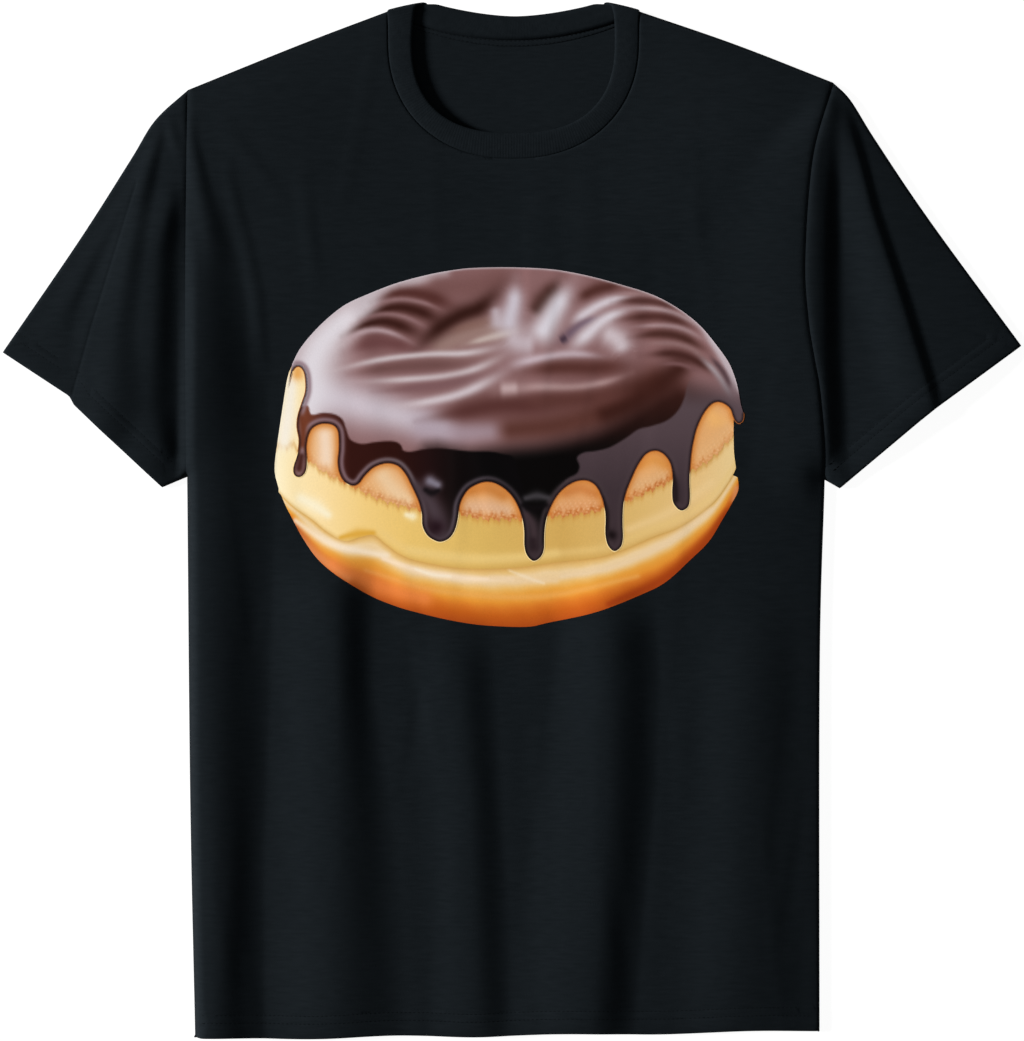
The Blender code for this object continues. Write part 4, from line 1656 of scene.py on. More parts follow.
GLAZE_DRIPS: tuple[Places, ...] = (
    # Sliver, arch and thin drip at the left end
    ((-153.6, 90), (-151.7, 98), (-149.5, 103.5), (-146.3, 105.6), (-143, 103.5), (-141.2, 98),
     (-141, 88.7), (-143.7, 80), (-146.3, 71.6), (-146.9, 64), (-145.5, 55), (-146.5, 46), (-149, 38.3)),
    ((-149.6, 34), (-148.5, 31), (-146, 29.8), (-143, 31), (-140.8, 35), (-140.3, 42), (-140.8, 50)),
    # Round arch and broad drip
    ((-139.7, 57.5), (-137, 63), (-132, 66), (-126.5, 66.5), (-121.5, 65), (-118.7, 60.5), (-118.2, 50),
     (-119, 40.5), (-117.9, 33), (-114.7, 27), (-109.5, 24.1), (-105, 25.5), (-100.8, 30.9)),
    # Low arch and fat drip
    ((-94.4, 36.7), (-86, 39.4), (-78.3, 37.8), (-73, 32.5), (-68.7, 24.4), (-63.8, 13.7), (-61.7, 5),
     (-61.2, -3.4), (-58, -9.9), (-52.8, -13.5), (-48.3, -14.4), (-43, -12), (-39.2, -6.6), (-37, 2)),
    # Arch and thin drip in the middle
    ((-36, 10.5), (-33.3, 17), (-29, 22.3), (-21.5, 26), (-15, 26.6), (-8.7, 24.4), (-2.2, 19.5),
     (2.9, 12.6), (6.7, 3), (8.3, -6.7), (8.5, -17.4), (10.4, -23.8), (14.7, -27.5), (19.3, -25),
     (21.7, -19.5), (22, -10.9)),
    # Arch and thin drip to the right
    ((22.7, -2.4), (24.9, 6.2), (29.7, 15.9), (36, 22.8), (43.6, 27), (51, 27.6), (57, 24.4), (60.8, 18),
     (63, 10.5), (64, 2), (63.8, -8.8), (65.6, -16.8), (69.9, -20.8), (74.2, -17.9), (75.8, -12),
     (75.6, -2.4)),
    # Tall arch and thin drip
    ((75.8, 8.4), (77.4, 18), (81, 27.6), (86, 38.3), (91.8, 45.9), (98.3, 48), (104.2, 45.3), (108.5, 39),
     (110, 29.8), (109.5, 19), (110.6, 11.6), (115.4, 7), (120.2, 9.4), (121.6, 16), (121.3, 27.6)),
    # Last arch and the small drip at the right edge
    ((121.8, 38.3), (122.9, 49), (125.8, 62), (130.4, 72.6), (135.8, 79.4), (140.6, 81.4), (145.4, 80),
     (149.5, 76.5), (151.5, 71), (153, 68), (155.5, 66.6), (158, 69), (158.4, 73)),
)
GLAZE_EDGE = Route(tuple(place for drip in GLAZE_DRIPS for place in drip))
CUSTARD_TOP = Route((
    (-150, 52), (-141, 43), (-126.5, 32), (-105, 21.2), (-92, 15), (-77, 10.5), (-63, 7.3), (-34, 4),
    (-19, 1), (6, 0.8), (26, 2.5), (52, 5), (77, 12.6), (100, 22.8), (123, 34), (136, 42), (146, 52),
    (154, 62),
)).smooth(8)
CUSTARD_FOOT = Route((
    (-164, 24), (-155.4, 15), (-148, 8.4), (-137, 0.9), (-126.5, -7.7), (-114.5, -14), (-103, -11),
    (-94.4, -10), (-86, -16.3), (-77, -22.7), (-64.4, -27.5), (-35.5, -32.4), (-1.4, -32.4),
    (30.8, -28.4), (65, -23.8), (97, -11), (112, -5.6), (125, 1.9), (138, 12.6), (147, 24.4), (155, 38),
)).smooth(8)

GLAZE_BASE: Tint = (138, 100, 100)
GLAZE_BROAD = (
    # Reflections to the left, along the front and at the back
    Stroke((206, 194, 203), (16, 15, 12, 8), ((-130, 86), (-100, 78), (-70, 70), (-48, 64)), 0.95),
    Stroke((176, 158, 170), (10, 10, 8), ((-60, 64), (-38, 61), (-16, 62)), 0.8),
    Stroke((230, 224, 230), (16, 19, 19, 15, 9),
           ((-142, 76), (-139, 98), (-132, 118), (-118, 134), (-98, 149)), 0.95),
    Stroke((200, 186, 191), (10, 7, 5, 4), ((-104, 148), (-88, 157), (-70, 163), (-46, 169)), 0.85),
    # Brown hollows to the left of the dimple, in it and behind it
    Stroke((112, 74, 72), (7, 8, 8, 7), ((-96, 124), (-84, 134), (-72, 143), (-56, 152)), 0.75),
    Stroke((120, 82, 80), (8, 10, 9), ((-50, 160), (-28, 160), (-10, 166)), 0.9),
    Stroke((156, 126, 118), (8, 9, 8), ((-48, 120), (-26, 129), (-8, 130)), 0.9),
    Stroke((124, 84, 82), (7, 9, 9), ((88, 136), (106, 126), (118, 116)), 0.7),
    Stroke((118, 80, 78), (6, 8, 6), ((62, 160), (84, 154), (100, 148)), 0.6),
    # Brown front, from the ripples down to the dark
    Stroke((116, 78, 76), (12, 14, 14, 12), ((-30, 78), (10, 78), (50, 84), (84, 92)), 0.9),
    Stroke((84, 46, 38), (8, 10, 12, 10), ((0, 62), (36, 66), (72, 78), (98, 94)), 0.85),
    Stroke((56, 25, 19), (7, 10, 11, 8), ((64, 74), (84, 84), (102, 94), (114, 104)), 0.9),
)
GLAZE_STREAKS = (
    # Folds behind the dimple, from its left
    Stroke((84, 46, 42), (2, 3.6, 4.2, 4), ((-96, 149), (-76, 155.5), (-56, 153), (-34, 143))),
    Stroke((158, 122, 124), (1.2, 1.6, 1.6, 1), ((-100, 144), (-80, 150.6), (-62, 149), (-46, 143))),
    Stroke((58, 27, 22), (2, 3.0, 3.6, 4.6), ((-104, 138), (-82, 145.6), (-64, 143.3), (-42, 133))),
    Stroke((152, 116, 118), (1.2, 1.6, 1.6, 1), ((-110, 134), (-90, 140.4), (-73, 138.8), (-54, 129.6))),
    Stroke((58, 27, 22), (2, 2.8, 3.4, 4.4), ((-116, 126), (-96, 135), (-80, 134.6), (-54, 123))),
    Stroke((186, 160, 164), (1.4, 1.8, 1.7, 1.2), ((-120, 121), (-100, 129.4), (-84, 128.6), (-64, 119))),
    Stroke((108, 68, 68), (3, 4.6, 4, 3), ((-114, 115), (-96, 121.6), (-80, 121), (-60, 115))),
    Stroke((52, 24, 19), (3, 4.8, 5.2, 5, 4.4),
           ((-70, 112), (-52, 130), (-36, 140), (-20, 147), (-2, 166))),
    Stroke((205, 188, 180), (1.4, 2.2, 2.4), ((-34, 120), (-12, 126), (8, 131)), 0.8),
    Stroke((134, 98, 88), (2, 3, 2), ((-46, 128), (-26, 134), (-8, 138)), 0.6),
    # Ripples that run across in front of the dimple
    Stroke((138, 102, 100), (2, 3.6, 3.4, 2), ((-74, 108), (-50, 111), (-26, 112), (0, 112)), 0.7),
    Stroke((208, 194, 197), (1.6, 1.8, 1.8, 2, 3),
           ((-128, 101), (-92, 109.6), (-57, 113.6), (-30, 114.6), (2, 121))),
    Stroke((112, 77, 75), (1.5, 3.2, 3.8, 3), ((-112, 100), (-84, 104.4), (-57, 106.2), (-18, 107))),
    Stroke((204, 188, 191), (1.8, 2, 2.2, 2.4, 3),
           ((-112, 94.6), (-76, 96.3), (-46, 98.6), (-24, 104), (2, 117))),
    Stroke((126, 90, 92), (1.4, 2.8, 3.2, 2.5), ((-96, 88), (-64, 91), (-41, 94), (-10, 102))),
    Stroke((208, 193, 198), (2, 2.6, 3, 3.4), ((-86, 77), (-54, 82), (-30, 88.6), (2, 105))),
    Stroke((88, 50, 47), (2, 4.8, 5.8, 5.8, 4.6), ((-66, 68), (-34, 74.4), (-9, 79), (14, 79), (40, 80))),
    # Two tall bright patches over the dimple, with the dark between them
    Stroke((204, 194, 204), (3.6, 5, 6.6, 7.4), ((2.4, 165), (1.4, 150), (-2, 137), (-4, 124))),
    Stroke((196, 182, 190), (2.6, 4.4), ((-12, 148), (-9, 130)), 0.8),
    Stroke((206, 192, 200), (5, 7, 6), ((-6, 128), (6, 122), (18, 120)), 0.8),
    Stroke((58, 28, 22), (3.6, 5, 3.6), ((34, 166), (21, 150), (13.4, 139))),
    Stroke((216, 209, 217), (4.4, 6.2, 7.2, 8), ((43, 165), (31, 147), (22.4, 132), (14, 118))),
    Stroke((82, 46, 41), (2.4, 3.6, 3), ((78, 162), (58, 158), (43, 150))),
    Stroke((212, 200, 207), (1.8, 2.8, 3.4, 3.4), ((90, 155), (66, 150), (50, 141.4), (38, 131))),
    Stroke((108, 84, 98), (1.4, 2.4, 3.4), ((62, 140), (46.8, 133.6), (32, 121))),
    Stroke((62, 44, 58), (2.2, 2.4), ((32.5, 122.4), (38, 125.6)), 0.9),
    Stroke((216, 206, 213), (2, 3.4, 4.4, 4), ((86, 147), (65, 138.6), (52, 128), (36, 114))),
    Stroke((216, 204, 210), (6, 6.6, 5), ((58, 131), (72, 124), (78, 112)), 0.85),
    # Folds that fan out to the right
    Stroke((158, 124, 124), (1, 1.4, 1.2), ((68, 155), (90, 154.4), (112, 148))),
    Stroke((86, 52, 49), (1.4, 2.2, 2.2, 1.8), ((68, 149.4), (87, 150.4), (101, 148.7), (118, 142))),
    Stroke((176, 150, 153), (1, 1.5, 1.6, 1.5, 1.2),
           ((70, 144), (90, 145.2), (106, 143.2), (122, 136.6), (136, 126))),
    Stroke((80, 46, 42), (1.5, 2.6, 2.8, 1.8), ((70, 137), (92, 139.6), (109, 138), (128, 130))),
    Stroke((164, 134, 136), (1, 1.4, 1.5, 1.3), ((76, 132), (100, 133.4), (117, 131), (136, 121))),
    Stroke((74, 42, 37), (1.5, 2.6, 2.8, 1.8), ((80, 125), (100, 127.8), (117, 125), (137, 114))),
    Stroke((142, 108, 107), (1, 1.6, 1.7, 1.4), ((84, 120), (106, 121.4), (122, 117.6), (138, 106))),
    Stroke((70, 38, 34), (2, 2.6, 2.8, 2), ((88, 113), (110, 114.2), (127, 108.8), (142, 98))),
    Stroke((118, 82, 82), (1, 1.4, 1.2), ((98, 107), (115, 107), (130, 101))),
    Stroke((186, 171, 177), (1.6, 2.2, 2.4, 2), ((124, 138), (139, 119), (149.5, 100), (155, 80))),
    Stroke((158, 143, 147), (1.4, 1.8, 2, 1.8), ((126, 114), (138, 103), (146, 92), (152, 79))),
    Stroke((84, 62, 66), (1, 1.7, 1.4), ((134, 114), (144.4, 101.6), (151, 88))),
    # Ripples in front, to the right
    Stroke((198, 178, 186), (3.4, 2.6, 2.4, 1.8), ((-6, 105), (14.7, 110), (41.5, 113.8), (68, 111))),
    Stroke((88, 50, 45), (2.6, 4.6, 5, 4.6), ((2, 101), (32, 104.6), (58.6, 104.4), (90, 107))),
    Stroke((174, 142, 141), (4, 2.8, 2.4, 2.2, 1.8),
           ((-12, 88), (16, 91.4), (41.5, 91), (63, 94.4), (82, 101))),
    Stroke((204, 178, 178), (4, 3), ((-10, 90), (6, 91)), 0.8),
    Stroke((92, 54, 49), (4, 5, 5, 4.4), ((4, 81), (31, 82), (63, 84.6), (90, 90))),
)
FRONT_SHADOW = Field((
    (-62, 44), (-30, 46), (-5, 49), (22, 52), (50, 59), (72, 69), (88, 80), (103, 89), (120, 92),
    (160, 60), (160, -40), (-62, -40),
), 20)
LEFT_SHADOW = Field((
    (-141.5, 78.5), (-137.2, 72.6), (-129, 73.8), (-121, 72.6), (-115.8, 69), (-113.2, 62),
    (-110.5, 55.5), (-103, 52.5), (-94.4, 53.6), (-86, 54.4), (-79.4, 53.9), (-75.8, 51.4), (-74.2, 48),
    (-69, 47.2), (-60, 48.8), (-48, 49.4), (-30, 47.5), (-8, 46), (4, 34), (4, -40), (-160, -40),
    (-160, 60),
), 1.6)
RIGHT_SHEEN = Field((
    (124, 99.4), (120, 93), (117.6, 83.4), (113.3, 75), (105.8, 68.4), (95, 64.6), (86.5, 62.5),
    (78, 56.6), (67.2, 50.3), (57, 47.6), (49, 46.5), (44.4, 43), (46.2, 37), (44, 32), (37.4, 28.2),
    (30, 20), (24, 8), (23, -10), (23, -45), (170, -45), (170, 92), (140, 104), (130, 103),
), 1.8)
FRONT_SHADOW_TINTS = ((44, (3, 1, 1)), (60, (28, 12, 10)), (76, (44, 20, 16)), (96, (62, 30, 24)))
LEFT_SHADOW_TINTS = ((-142, (120, 62, 40)), (-130, (86, 42, 34)), (-110, (50, 17, 12)), (-80, (44, 14, 9)),
                     (-58, (30, 10, 10)), (-38, (12, 5, 5)), (-20, (4, 2, 3)))
RIGHT_SHEEN_TINTS = ((-20, (60, 46, 50)), (20, (62, 49, 54)), (60, (82, 66, 71)), (95, (92, 76, 81)))
DRIP_STROKES = (
    # Body, glint and dark of the fat drip
    Stroke((72, 58, 64), (5, 7, 8, 8, 7), ((-66, 23), (-58, 15), (-53, 6), (-50, -2), (-48.6, -8))),
    Stroke((128, 120, 134), (4, 3.2), ((-56, 27), (-51, 24.5))),
    Stroke((14, 9, 12), (2, 2.6, 1.6), ((-59, 21), (-55, 19), (-50.5, 20.5)), 0.9),
    Stroke((36, 18, 25), (5.4, 5.4), ((-52.4, -4.5), (-51.4, -4.5))),
    # Thin drip in the middle
    Stroke((62, 48, 52), (3, 5, 5, 5), ((10, 4), (14, -3), (15.2, -12), (15, -22))),
    Stroke((66, 62, 66), (2.2, 3.2, 2.2), ((9.5, 15.4), (17, 17), (24.5, 15.6)), 0.9),
    Stroke((10, 6, 8), (1.6, 2.4, 1.6), ((7.5, 10.6), (15.4, 8.4), (23.5, 10.6)), 0.9),
    Stroke((38, 26, 30), (3, 3.4), ((14.3, -14), (14.6, -18)), 0.9),
    # Thin drips to the right
    Stroke((20, 12, 14), (3.2, 3.2), ((67.8, -9.5), (68.6, -10)), 0.9),
    Stroke((28, 19, 21), (1.2, 1.8, 1.4), ((61.8, 16), (65, 6), (65.4, -6)), 0.8),
    Stroke((26, 18, 20), (1.2, 2.2, 2), ((107, 40), (111.4, 26), (112.2, 14)), 0.85),
    # Thin drip at the left
    Stroke((112, 56, 36), (3.2, 2.6, 2.6), ((-143.6, 70), (-142.8, 60), (-143.4, 52))),
    Stroke((70, 34, 28), (2.4, 3), ((-144, 44), (-145.6, 36))),
)
DRIP_RIM_TINTS = ((-150, (150, 124, 132)), (-120, (136, 108, 115)), (-80, (118, 104, 110)),
                  (-40, (86, 76, 84)), (0, (58, 50, 55)), (40, (72, 60, 62)), (110, (84, 68, 72)))
# How strong the pale rim beside the glaze's edge is across the print
RIM_STRENGTH: Places = ((-140, 0.9), (-60, 0.85), (-30, 0.9), (20, 0.8), (60, 0.3))
RIM_ON_DOUGH: Tint = (150, 84, 40)
RIM_ON_CUSTARD: Tint = (252, 222, 160)
GLAZE_RIM = (2.5, 1.5)
GLAZE_OUTLINE = Band((24, 14, 16), 0.9, 0.0, 1.1)
TOP_LINE = Band((206, 196, 202), 0.75, 0.0, 0.9)

CUSTARD_TINTS = ((-163, (252, 240, 205)), (-150, (255, 232, 180)), (-130, (254, 224, 164)),
                 (-100, (246, 208, 130)), (-70, (238, 198, 112)), (-20, (222, 182, 98)),
                 (35, (216, 172, 92)), (90, (226, 186, 114)), (130, (236, 197, 134)), (150, (240, 208, 148)))
CUSTARD_STROKES = (
    Stroke((250, 240, 222), (4, 6, 6), ((-150, 98), (-153, 74), (-156, 54))),
    Stroke((236, 170, 92), (4.4, 4.4), ((-146.4, 102.5), (-146.6, 100))),
    Stroke((255, 244, 214), (4, 5, 3), ((-144, 15), (-134, 9.6), (-126, 4)), 0.85),
    Stroke((255, 246, 216), (2, 3), ((-72, 4), (-68, 3)), 0.8),
    Stroke((224, 168, 62), (1.6, 3.4, 2), ((-117, -11.5), (-105.5, -9), (-95, -8.4)), 0.95),
    Stroke((240, 206, 130), (3, 3.4, 3), ((-70, -20), (-20, -25.5), (30, -22)), 0.6),
    Stroke((242, 208, 150), (3, 4, 3), ((80, -6), (110, 7), (136, 26)), 0.6),
    Stroke((206, 160, 84), (3, 3, 3), ((110, 32), (128, 37), (142, 50)), 0.5),
)
CUSTARD_FOLD = Band((212, 164, 84), 0.55, -0.4, 2.2)
CUSTARD_GLEAM = Band((238, 202, 130), 0.5, 6.0, 3.0)
CUSTARD_SHADE = Band((208, 146, 66), 0.6, 0.0, 2.6)
DOUGH_BASE: Tint = (232, 172, 112)
DOUGH_STROKES = (
    Stroke((246, 216, 188), (6, 7), ((-128, 58), (-127, 42))),
    Stroke((240, 202, 158), (7, 8, 6), ((-88, 30), (-80, 20), (-72, 14))),
    Stroke((226, 176, 136), (6, 7, 5), ((-28, 9), (-16, 9), (-4, 7))),
    Stroke((206, 128, 60), (4, 5, 4), ((-28, 20), (-17, 22), (-6, 17)), 0.9),
    Stroke((226, 160, 106), (6, 7, 5), ((34, 8), (46, 10), (58, 10))),
    Stroke((208, 128, 66), (4, 5, 4), ((37, 19), (47, 22), (57, 18)), 0.9),
    Stroke((226, 172, 118), (5, 6, 5), ((84, 24), (97, 27), (106, 31))),
    Stroke((224, 150, 74), (4, 5, 4), ((88, 38), (97, 42), (105, 38)), 0.9),
    Stroke((243, 182, 110), (5, 6, 5), ((134, 74), (140, 68), (146, 66))),
    Stroke((232, 176, 118), (5, 6, 5), ((128, 46), (136, 52), (148, 64))),
)
DOUGH_CRUST = Band((190, 98, 34), 1.0, 1.6, 2.6)
DOUGH_CRUMBS = Band((244, 196, 146), 0.8, 2.2, 2.6)
DOUGH_SPECKS = Band((250, 214, 170), 0.35, 6.0, 5.0)
DOUGH_SHADE = Band((208, 122, 48), 0.8, 0.0, 3.0)
# Waves over the print: radians a millimetre along X and along Y, and where they start
CRUST_WAVES = ((0.8, 0.0, 1.3), (0.31, 0.5, 0.0))
CRUMB_WAVES = ((1.3, 0.8, 0.0), (0.7, -1.6, 0.0))
SPECK_WAVES = ((2.9, 0.0, 1.0), (1.0, 2.3, 0.0))
# How browned the foot of the dough is across the print
BROWNED: Places = ((-140, 0.2), (-110, 0.4), (-80, 0.6), (-30, 0.95), (110, 1.0), (125, 0.5), (150, 0.3))
BUN_TINTS = (
    (0.00, (214, 164, 88)), (0.07, (232, 190, 118)), (0.16, (242, 210, 160)), (0.26, (238, 204, 152)),
    (0.35, (238, 186, 104)), (0.45, (234, 162, 64)), (0.58, (232, 148, 50)), (0.70, (214, 116, 36)),
    (0.82, (196, 94, 24)), (1.00, (174, 74, 20)),
)
BUN_STROKES = (
    Stroke((252, 232, 206), (2, 3.4, 3.2, 2.4), ((-148, 0), (-128, -14), (-108, -20), (-86, -24)), 0.85),
    Stroke((252, 226, 196), (1.6, 2.4, 2.8, 2, 1.6),
           ((-88, -26), (-64, -34), (-40, -38.5), (-22, -40), (0, -40)), 0.85),
    Stroke((240, 208, 164), (2, 2.8, 2.4), ((-14, -39), (8, -41), (30, -41)), 0.75),
    Stroke((250, 232, 204), (0.8, 1.3, 0.8), ((-2, -34), (8, -38), (22, -43)), 0.5),
    Stroke((252, 236, 210), (0.8, 1.3, 0.8), ((-66, -33), (-54, -37), (-42, -38)), 0.85),
    Stroke((240, 210, 168), (2, 3.4, 3.6, 2.4), ((34, -38), (72, -31), (106, -15), (136, 7)), 0.8),
    Stroke((240, 178, 104), (1.6, 2.4, 2.4, 1.6), ((-100, -34), (-50, -48), (20, -52), (86, -38)), 0.45),
    Stroke((244, 176, 130), (3, 4, 3), ((-146, -10), (-132, -25), (-112, -39)), 0.5),
    Stroke((240, 136, 72), (5, 8, 6), ((-122, -30), (-94, -44), (-60, -53)), 0.7),
    Stroke((160, 58, 16), (2, 4.4, 4.8, 2.4), ((66, -57), (104, -40), (128, -20), (147, 6)), 0.8),
    Stroke((232, 158, 110), (2.4, 2.4), ((153.5, 22), (152, 14)), 0.7),
)


@dataclass(frozen=True)
class Ink:
    """Printed ink that takes its colour from the painted tints and shows the knit under it."""

    name: str = "printed_ink"
    layer: str = "ink"
    roughness: float = 0.7
    specular: float = 0.05
    knit: Colour = (1500.0, 1100.0, 1300.0)
    knit_depth: float = 0.00012
    relief_share: float = 0.4
    knit_tones: tuple[tuple[float, Colour], ...] = ((0.3, (0.93, 0.93, 0.93)), (0.7, (1.0, 1.0, 1.0)))

    def material(self) -> bpy.types.Material:
        """Build the material.

        Returns:
            The material.
        """
        nodes = Nodes(self.name)
        paint = nodes.add("ShaderNodeAttribute", attribute_name=self.layer)
        knit = nodes.noise(self.knit)
        nodes.bump(knit, self.knit_depth, self.relief_share)
        colour = nodes.multiplied(paint.outputs["Color"], nodes.ramp(knit, self.knit_tones))
        return nodes.dress(colour, self.roughness, self.specular)


@dataclass(frozen=True)
class InkLayer:
    """One layer of the print: its name, its anticlockwise outline in millimetres and its paint."""

    name: str
    outline: Route
    paint: Callable[[Array, Array], Array]


def level_along(places: Places, x: Array) -> Array:
    """Second value of a row of places, read off between their first values."""
    return np.interp(x, *np.array(places).T)


def passed(place: Array, start: float, fade: float) -> Array:
    """Ease from 0 to 1 as places pass a start, over the length of a fade."""
    return smooth_step((place - start) / fade)


def mottled(waves: tuple[tuple[float, float, float], ...], x: Array, y: Array) -> Array:
    """Product of waves over the print, from -1 to 1.

    Args:
        waves: rates along X and Y, and where each wave starts.
        x, y: places on the print (millimetres).

    Returns:
        The product at each place.
    """
    return np.prod([np.sin(x * across + y * up + start) for across, up, start in waves], axis=0)


def plain_tints(tint: Tint, x: Array) -> Array:
    """One tint at every place."""
    return np.tile(np.array(tint, dtype=float), (len(x), 1))


def stroked(tints: Array, strokes: tuple[Stroke, ...], x: Array, y: Array) -> Array:
    """Paint strokes over tints, one after another.

    Args:
        tints: what is painted so far.
        strokes: the strokes, from the lowest up.
        x, y: places on the print (millimetres).

    Returns:
        The tints with the strokes over them.
    """
    for stroke in strokes:
        tints = stroke.over(tints, x, y)
    return tints


@dataclass
class DoughnutPrint:
    """The doughnut on the chest: layers of ink on the front panel, each painted by curves and strokes."""

    body: Body
    colour_layer: str
    streak_spread: float = 1.25
    streak_fade: float = 0.3
    first_level: float = 0.00010
    level_step: float = 0.00005
    spacing: float = 0.0011
    edge_step: float = 0.00055
    split_y: float = 24.0
    least_depth: float = 12.0
    crust_patches: float = 0.28
    rim_width: float = 0.55
    # Waves of the crumbly edge: height, radians a millimetre and start
    crumb_waves: tuple[tuple[float, float, float], ...] = (
        (1.0, 0.83, 0.3), (0.8, 1.73, 1.1), (0.5, 3.37, 2.0))
    # Waves of the bun's streaks: height, and radians a millimetre along X and along Y
    streak_waves: tuple[tuple[float, float, float], ...] = ((0.012, 0.11, 0.0), (0.008, 0.37, 0.2))

    def ragged_top(self, x: Array) -> Array:
        """Height on the print of the crumbly foot of the upper dough (millimetres)."""
        crumbs = sum(high * np.sin(x * rate + start) for high, rate, start in self.crumb_waves)
        return level_along(CUSTARD_TOP.points, x) + crumbs

    def custard_foot(self, x: Array) -> Array:
        """Height on the print of the custard's lower edge (millimetres)."""
        return level_along(CUSTARD_FOOT.points, x)

    def bun_foot(self, x: Array) -> Array:
        """Height on the print of the doughnut's lower edge (millimetres)."""
        edge = Route(BUN_EDGE).smooth(8).points
        return level_along(tuple(place for place in edge if place[1] < self.split_y), x)

    def paint_bun(self, x: Array, y: Array) -> Array:
        """Tints of the lower half: pale where it splits, golden, and browned at the foot.

        Args:
            x, y: places on the print (millimetres).

        Returns:
            A tint for each place.
        """
        top = self.custard_foot(x)
        depth = np.maximum(top - self.bun_foot(x), self.least_depth)
        streaks = sum(high * np.sin(x * across + y * up) for high, across, up in self.streak_waves)
        tints = graded(np.clip((top - y) / depth + streaks * passed(top - y, 0, 6), 0, 1), BUN_TINTS)
        return stroked(tints, BUN_STROKES, x, y)

    def paint_custard(self, x: Array, y: Array) -> Array:
        """Tints of the custard, with its shadow along the foot.

        Args:
            x, y: places on the print (millimetres).

        Returns:
            A tint for each place.
        """
        tints = graded(x, CUSTARD_TINTS)
        above = y - self.custard_foot(x)
        tints = CUSTARD_FOLD.over(tints, above)
        tints = CUSTARD_GLEAM.over(tints, above, passed(x, -96, 12))
        tints = CUSTARD_SHADE.over(tints, self.ragged_top(x) - y)
        return stroked(tints, CUSTARD_STROKES, x, y)

    def paint_dough(self, x: Array, y: Array) -> Array:
        """Tints of the upper dough, browned at its foot and shaded under the glaze.

        Args:
            x, y: places on the print (millimetres).

        Returns:
            A tint for each place.
        """
        tints = stroked(plain_tints(DOUGH_BASE, x), DOUGH_STROKES, x, y)
        above = y - self.ragged_top(x)
        patches = 1 - self.crust_patches * (1 - mottled(CRUST_WAVES, x, y))
        tints = DOUGH_CRUST.over(tints, above, level_along(BROWNED, x) * patches)
        tints = DOUGH_CRUMBS.over(tints, above, np.maximum(mottled(CRUMB_WAVES, x, y), 0))
        tints = DOUGH_SPECKS.over(tints, above, np.maximum(mottled(SPECK_WAVES, x, y), 0))
        return DOUGH_SHADE.over(tints, GLAZE_EDGE.smooth(5).distance(x, y))

    def paint_rim(self, x: Array, y: Array) -> Array:
        """Tints of the fine line round the glaze: pale on the custard and brown under the arches."""
        on_custard = passed(self.ragged_top(x) - y, -2, 4)
        return laid_over(plain_tints(RIM_ON_DOUGH, x), RIM_ON_CUSTARD, on_custard)

    def paint_glaze(self, x: Array, y: Array) -> Array:
        """Tints of the glaze: its folds and reflections, the dark front and the drips.

        Args:
            x, y: places on the print (millimetres).

        Returns:
            A tint for each place.
        """
        tints = stroked(plain_tints(GLAZE_BASE, x), GLAZE_BROAD, x, y)
        for stroke in GLAZE_STREAKS:
            tints = stroke.over(tints, x, y, self.streak_spread, self.streak_fade)
        tints = laid_over(tints, graded(y, FRONT_SHADOW_TINTS), FRONT_SHADOW.cover(x, y))
        tints = laid_over(tints, graded(x, LEFT_SHADOW_TINTS), LEFT_SHADOW.cover(x, y))
        sheen = RIGHT_SHEEN.cover(x, y) * (1 - passed(y, 74, 30) * passed(x, 108, 16))
        tints = laid_over(tints, graded(y, RIGHT_SHEEN_TINTS), sheen)
        edge = GLAZE_EDGE.smooth(5).distance(x, y)
        away, width = GLAZE_RIM
        rim = level_along(RIM_STRENGTH, x) * bell(edge - away, width)
        tints = stroked(laid_over(tints, graded(x, DRIP_RIM_TINTS), rim), DRIP_STROKES, x, y)
        tints = GLAZE_OUTLINE.over(tints, edge)
        top = Route(GLAZE_TOP).smooth(4).distance(x, y)
        return TOP_LINE.over(tints, top, passed(y, 84, 8))

    def layers(self) -> list[InkLayer]:
        """The layers of ink, from the lowest up.

        Returns:
            The layers with their outlines and paints.
        """
        edge = Route(BUN_EDGE).smooth(6).points
        lower = Route(tuple(place for place in edge if place[1] < 30))
        bun = lower.joined(Route(((138, 36), (60, 0), (0, -12), (-70, -6), (-100, 10), (-140, 30))))
        left = Route(tuple(place for place in edge if place[0] < 0 and place[1] > 21))
        right = Route(tuple(place for place in edge if place[0] > 0 and place[1] > 36))
        foot = Route(tuple(place for place in CUSTARD_FOOT.points if -159.8 < place[0] < 152.8))
        under_glaze = Route(((100, 66), (0, 42), (-60, 47), (-100, 70), (-140, 104)))
        custard = left.joined(foot, right, under_glaze)
        x = np.linspace(-143, 151.5, 600)
        crumbs = Route.through(x, self.ragged_top(x))
        dough = crumbs.joined(Route((
            (151.6, 74), (147, 84.5), (132, 84.5), (117, 64), (98, 56), (84, 44), (70, 30), (51, 34),
            (16, 34),
            (-15, 34), (-50, 36), (-86, 47), (-110, 62), (-126.5, 72), (-142.4, 66), (-143.2, 54))))
        drips = GLAZE_EDGE.smooth(6)
        under_top = Route(((140, 100), (60, 120), (0, 120), (-130, 114), (-148, 108.5)))
        rim = drips.moved(-self.rim_width).joined(under_top)
        glaze = drips.joined(Route(GLAZE_TOP).smooth(6))
        return [
            InkLayer("print_bun", bun, self.paint_bun),
            InkLayer("print_custard", custard, self.paint_custard),
            InkLayer("print_dough", dough, self.paint_dough),
            InkLayer("print_glaze_rim", rim, self.paint_rim),
            InkLayer("print_glaze", glaze, self.paint_glaze),
        ]

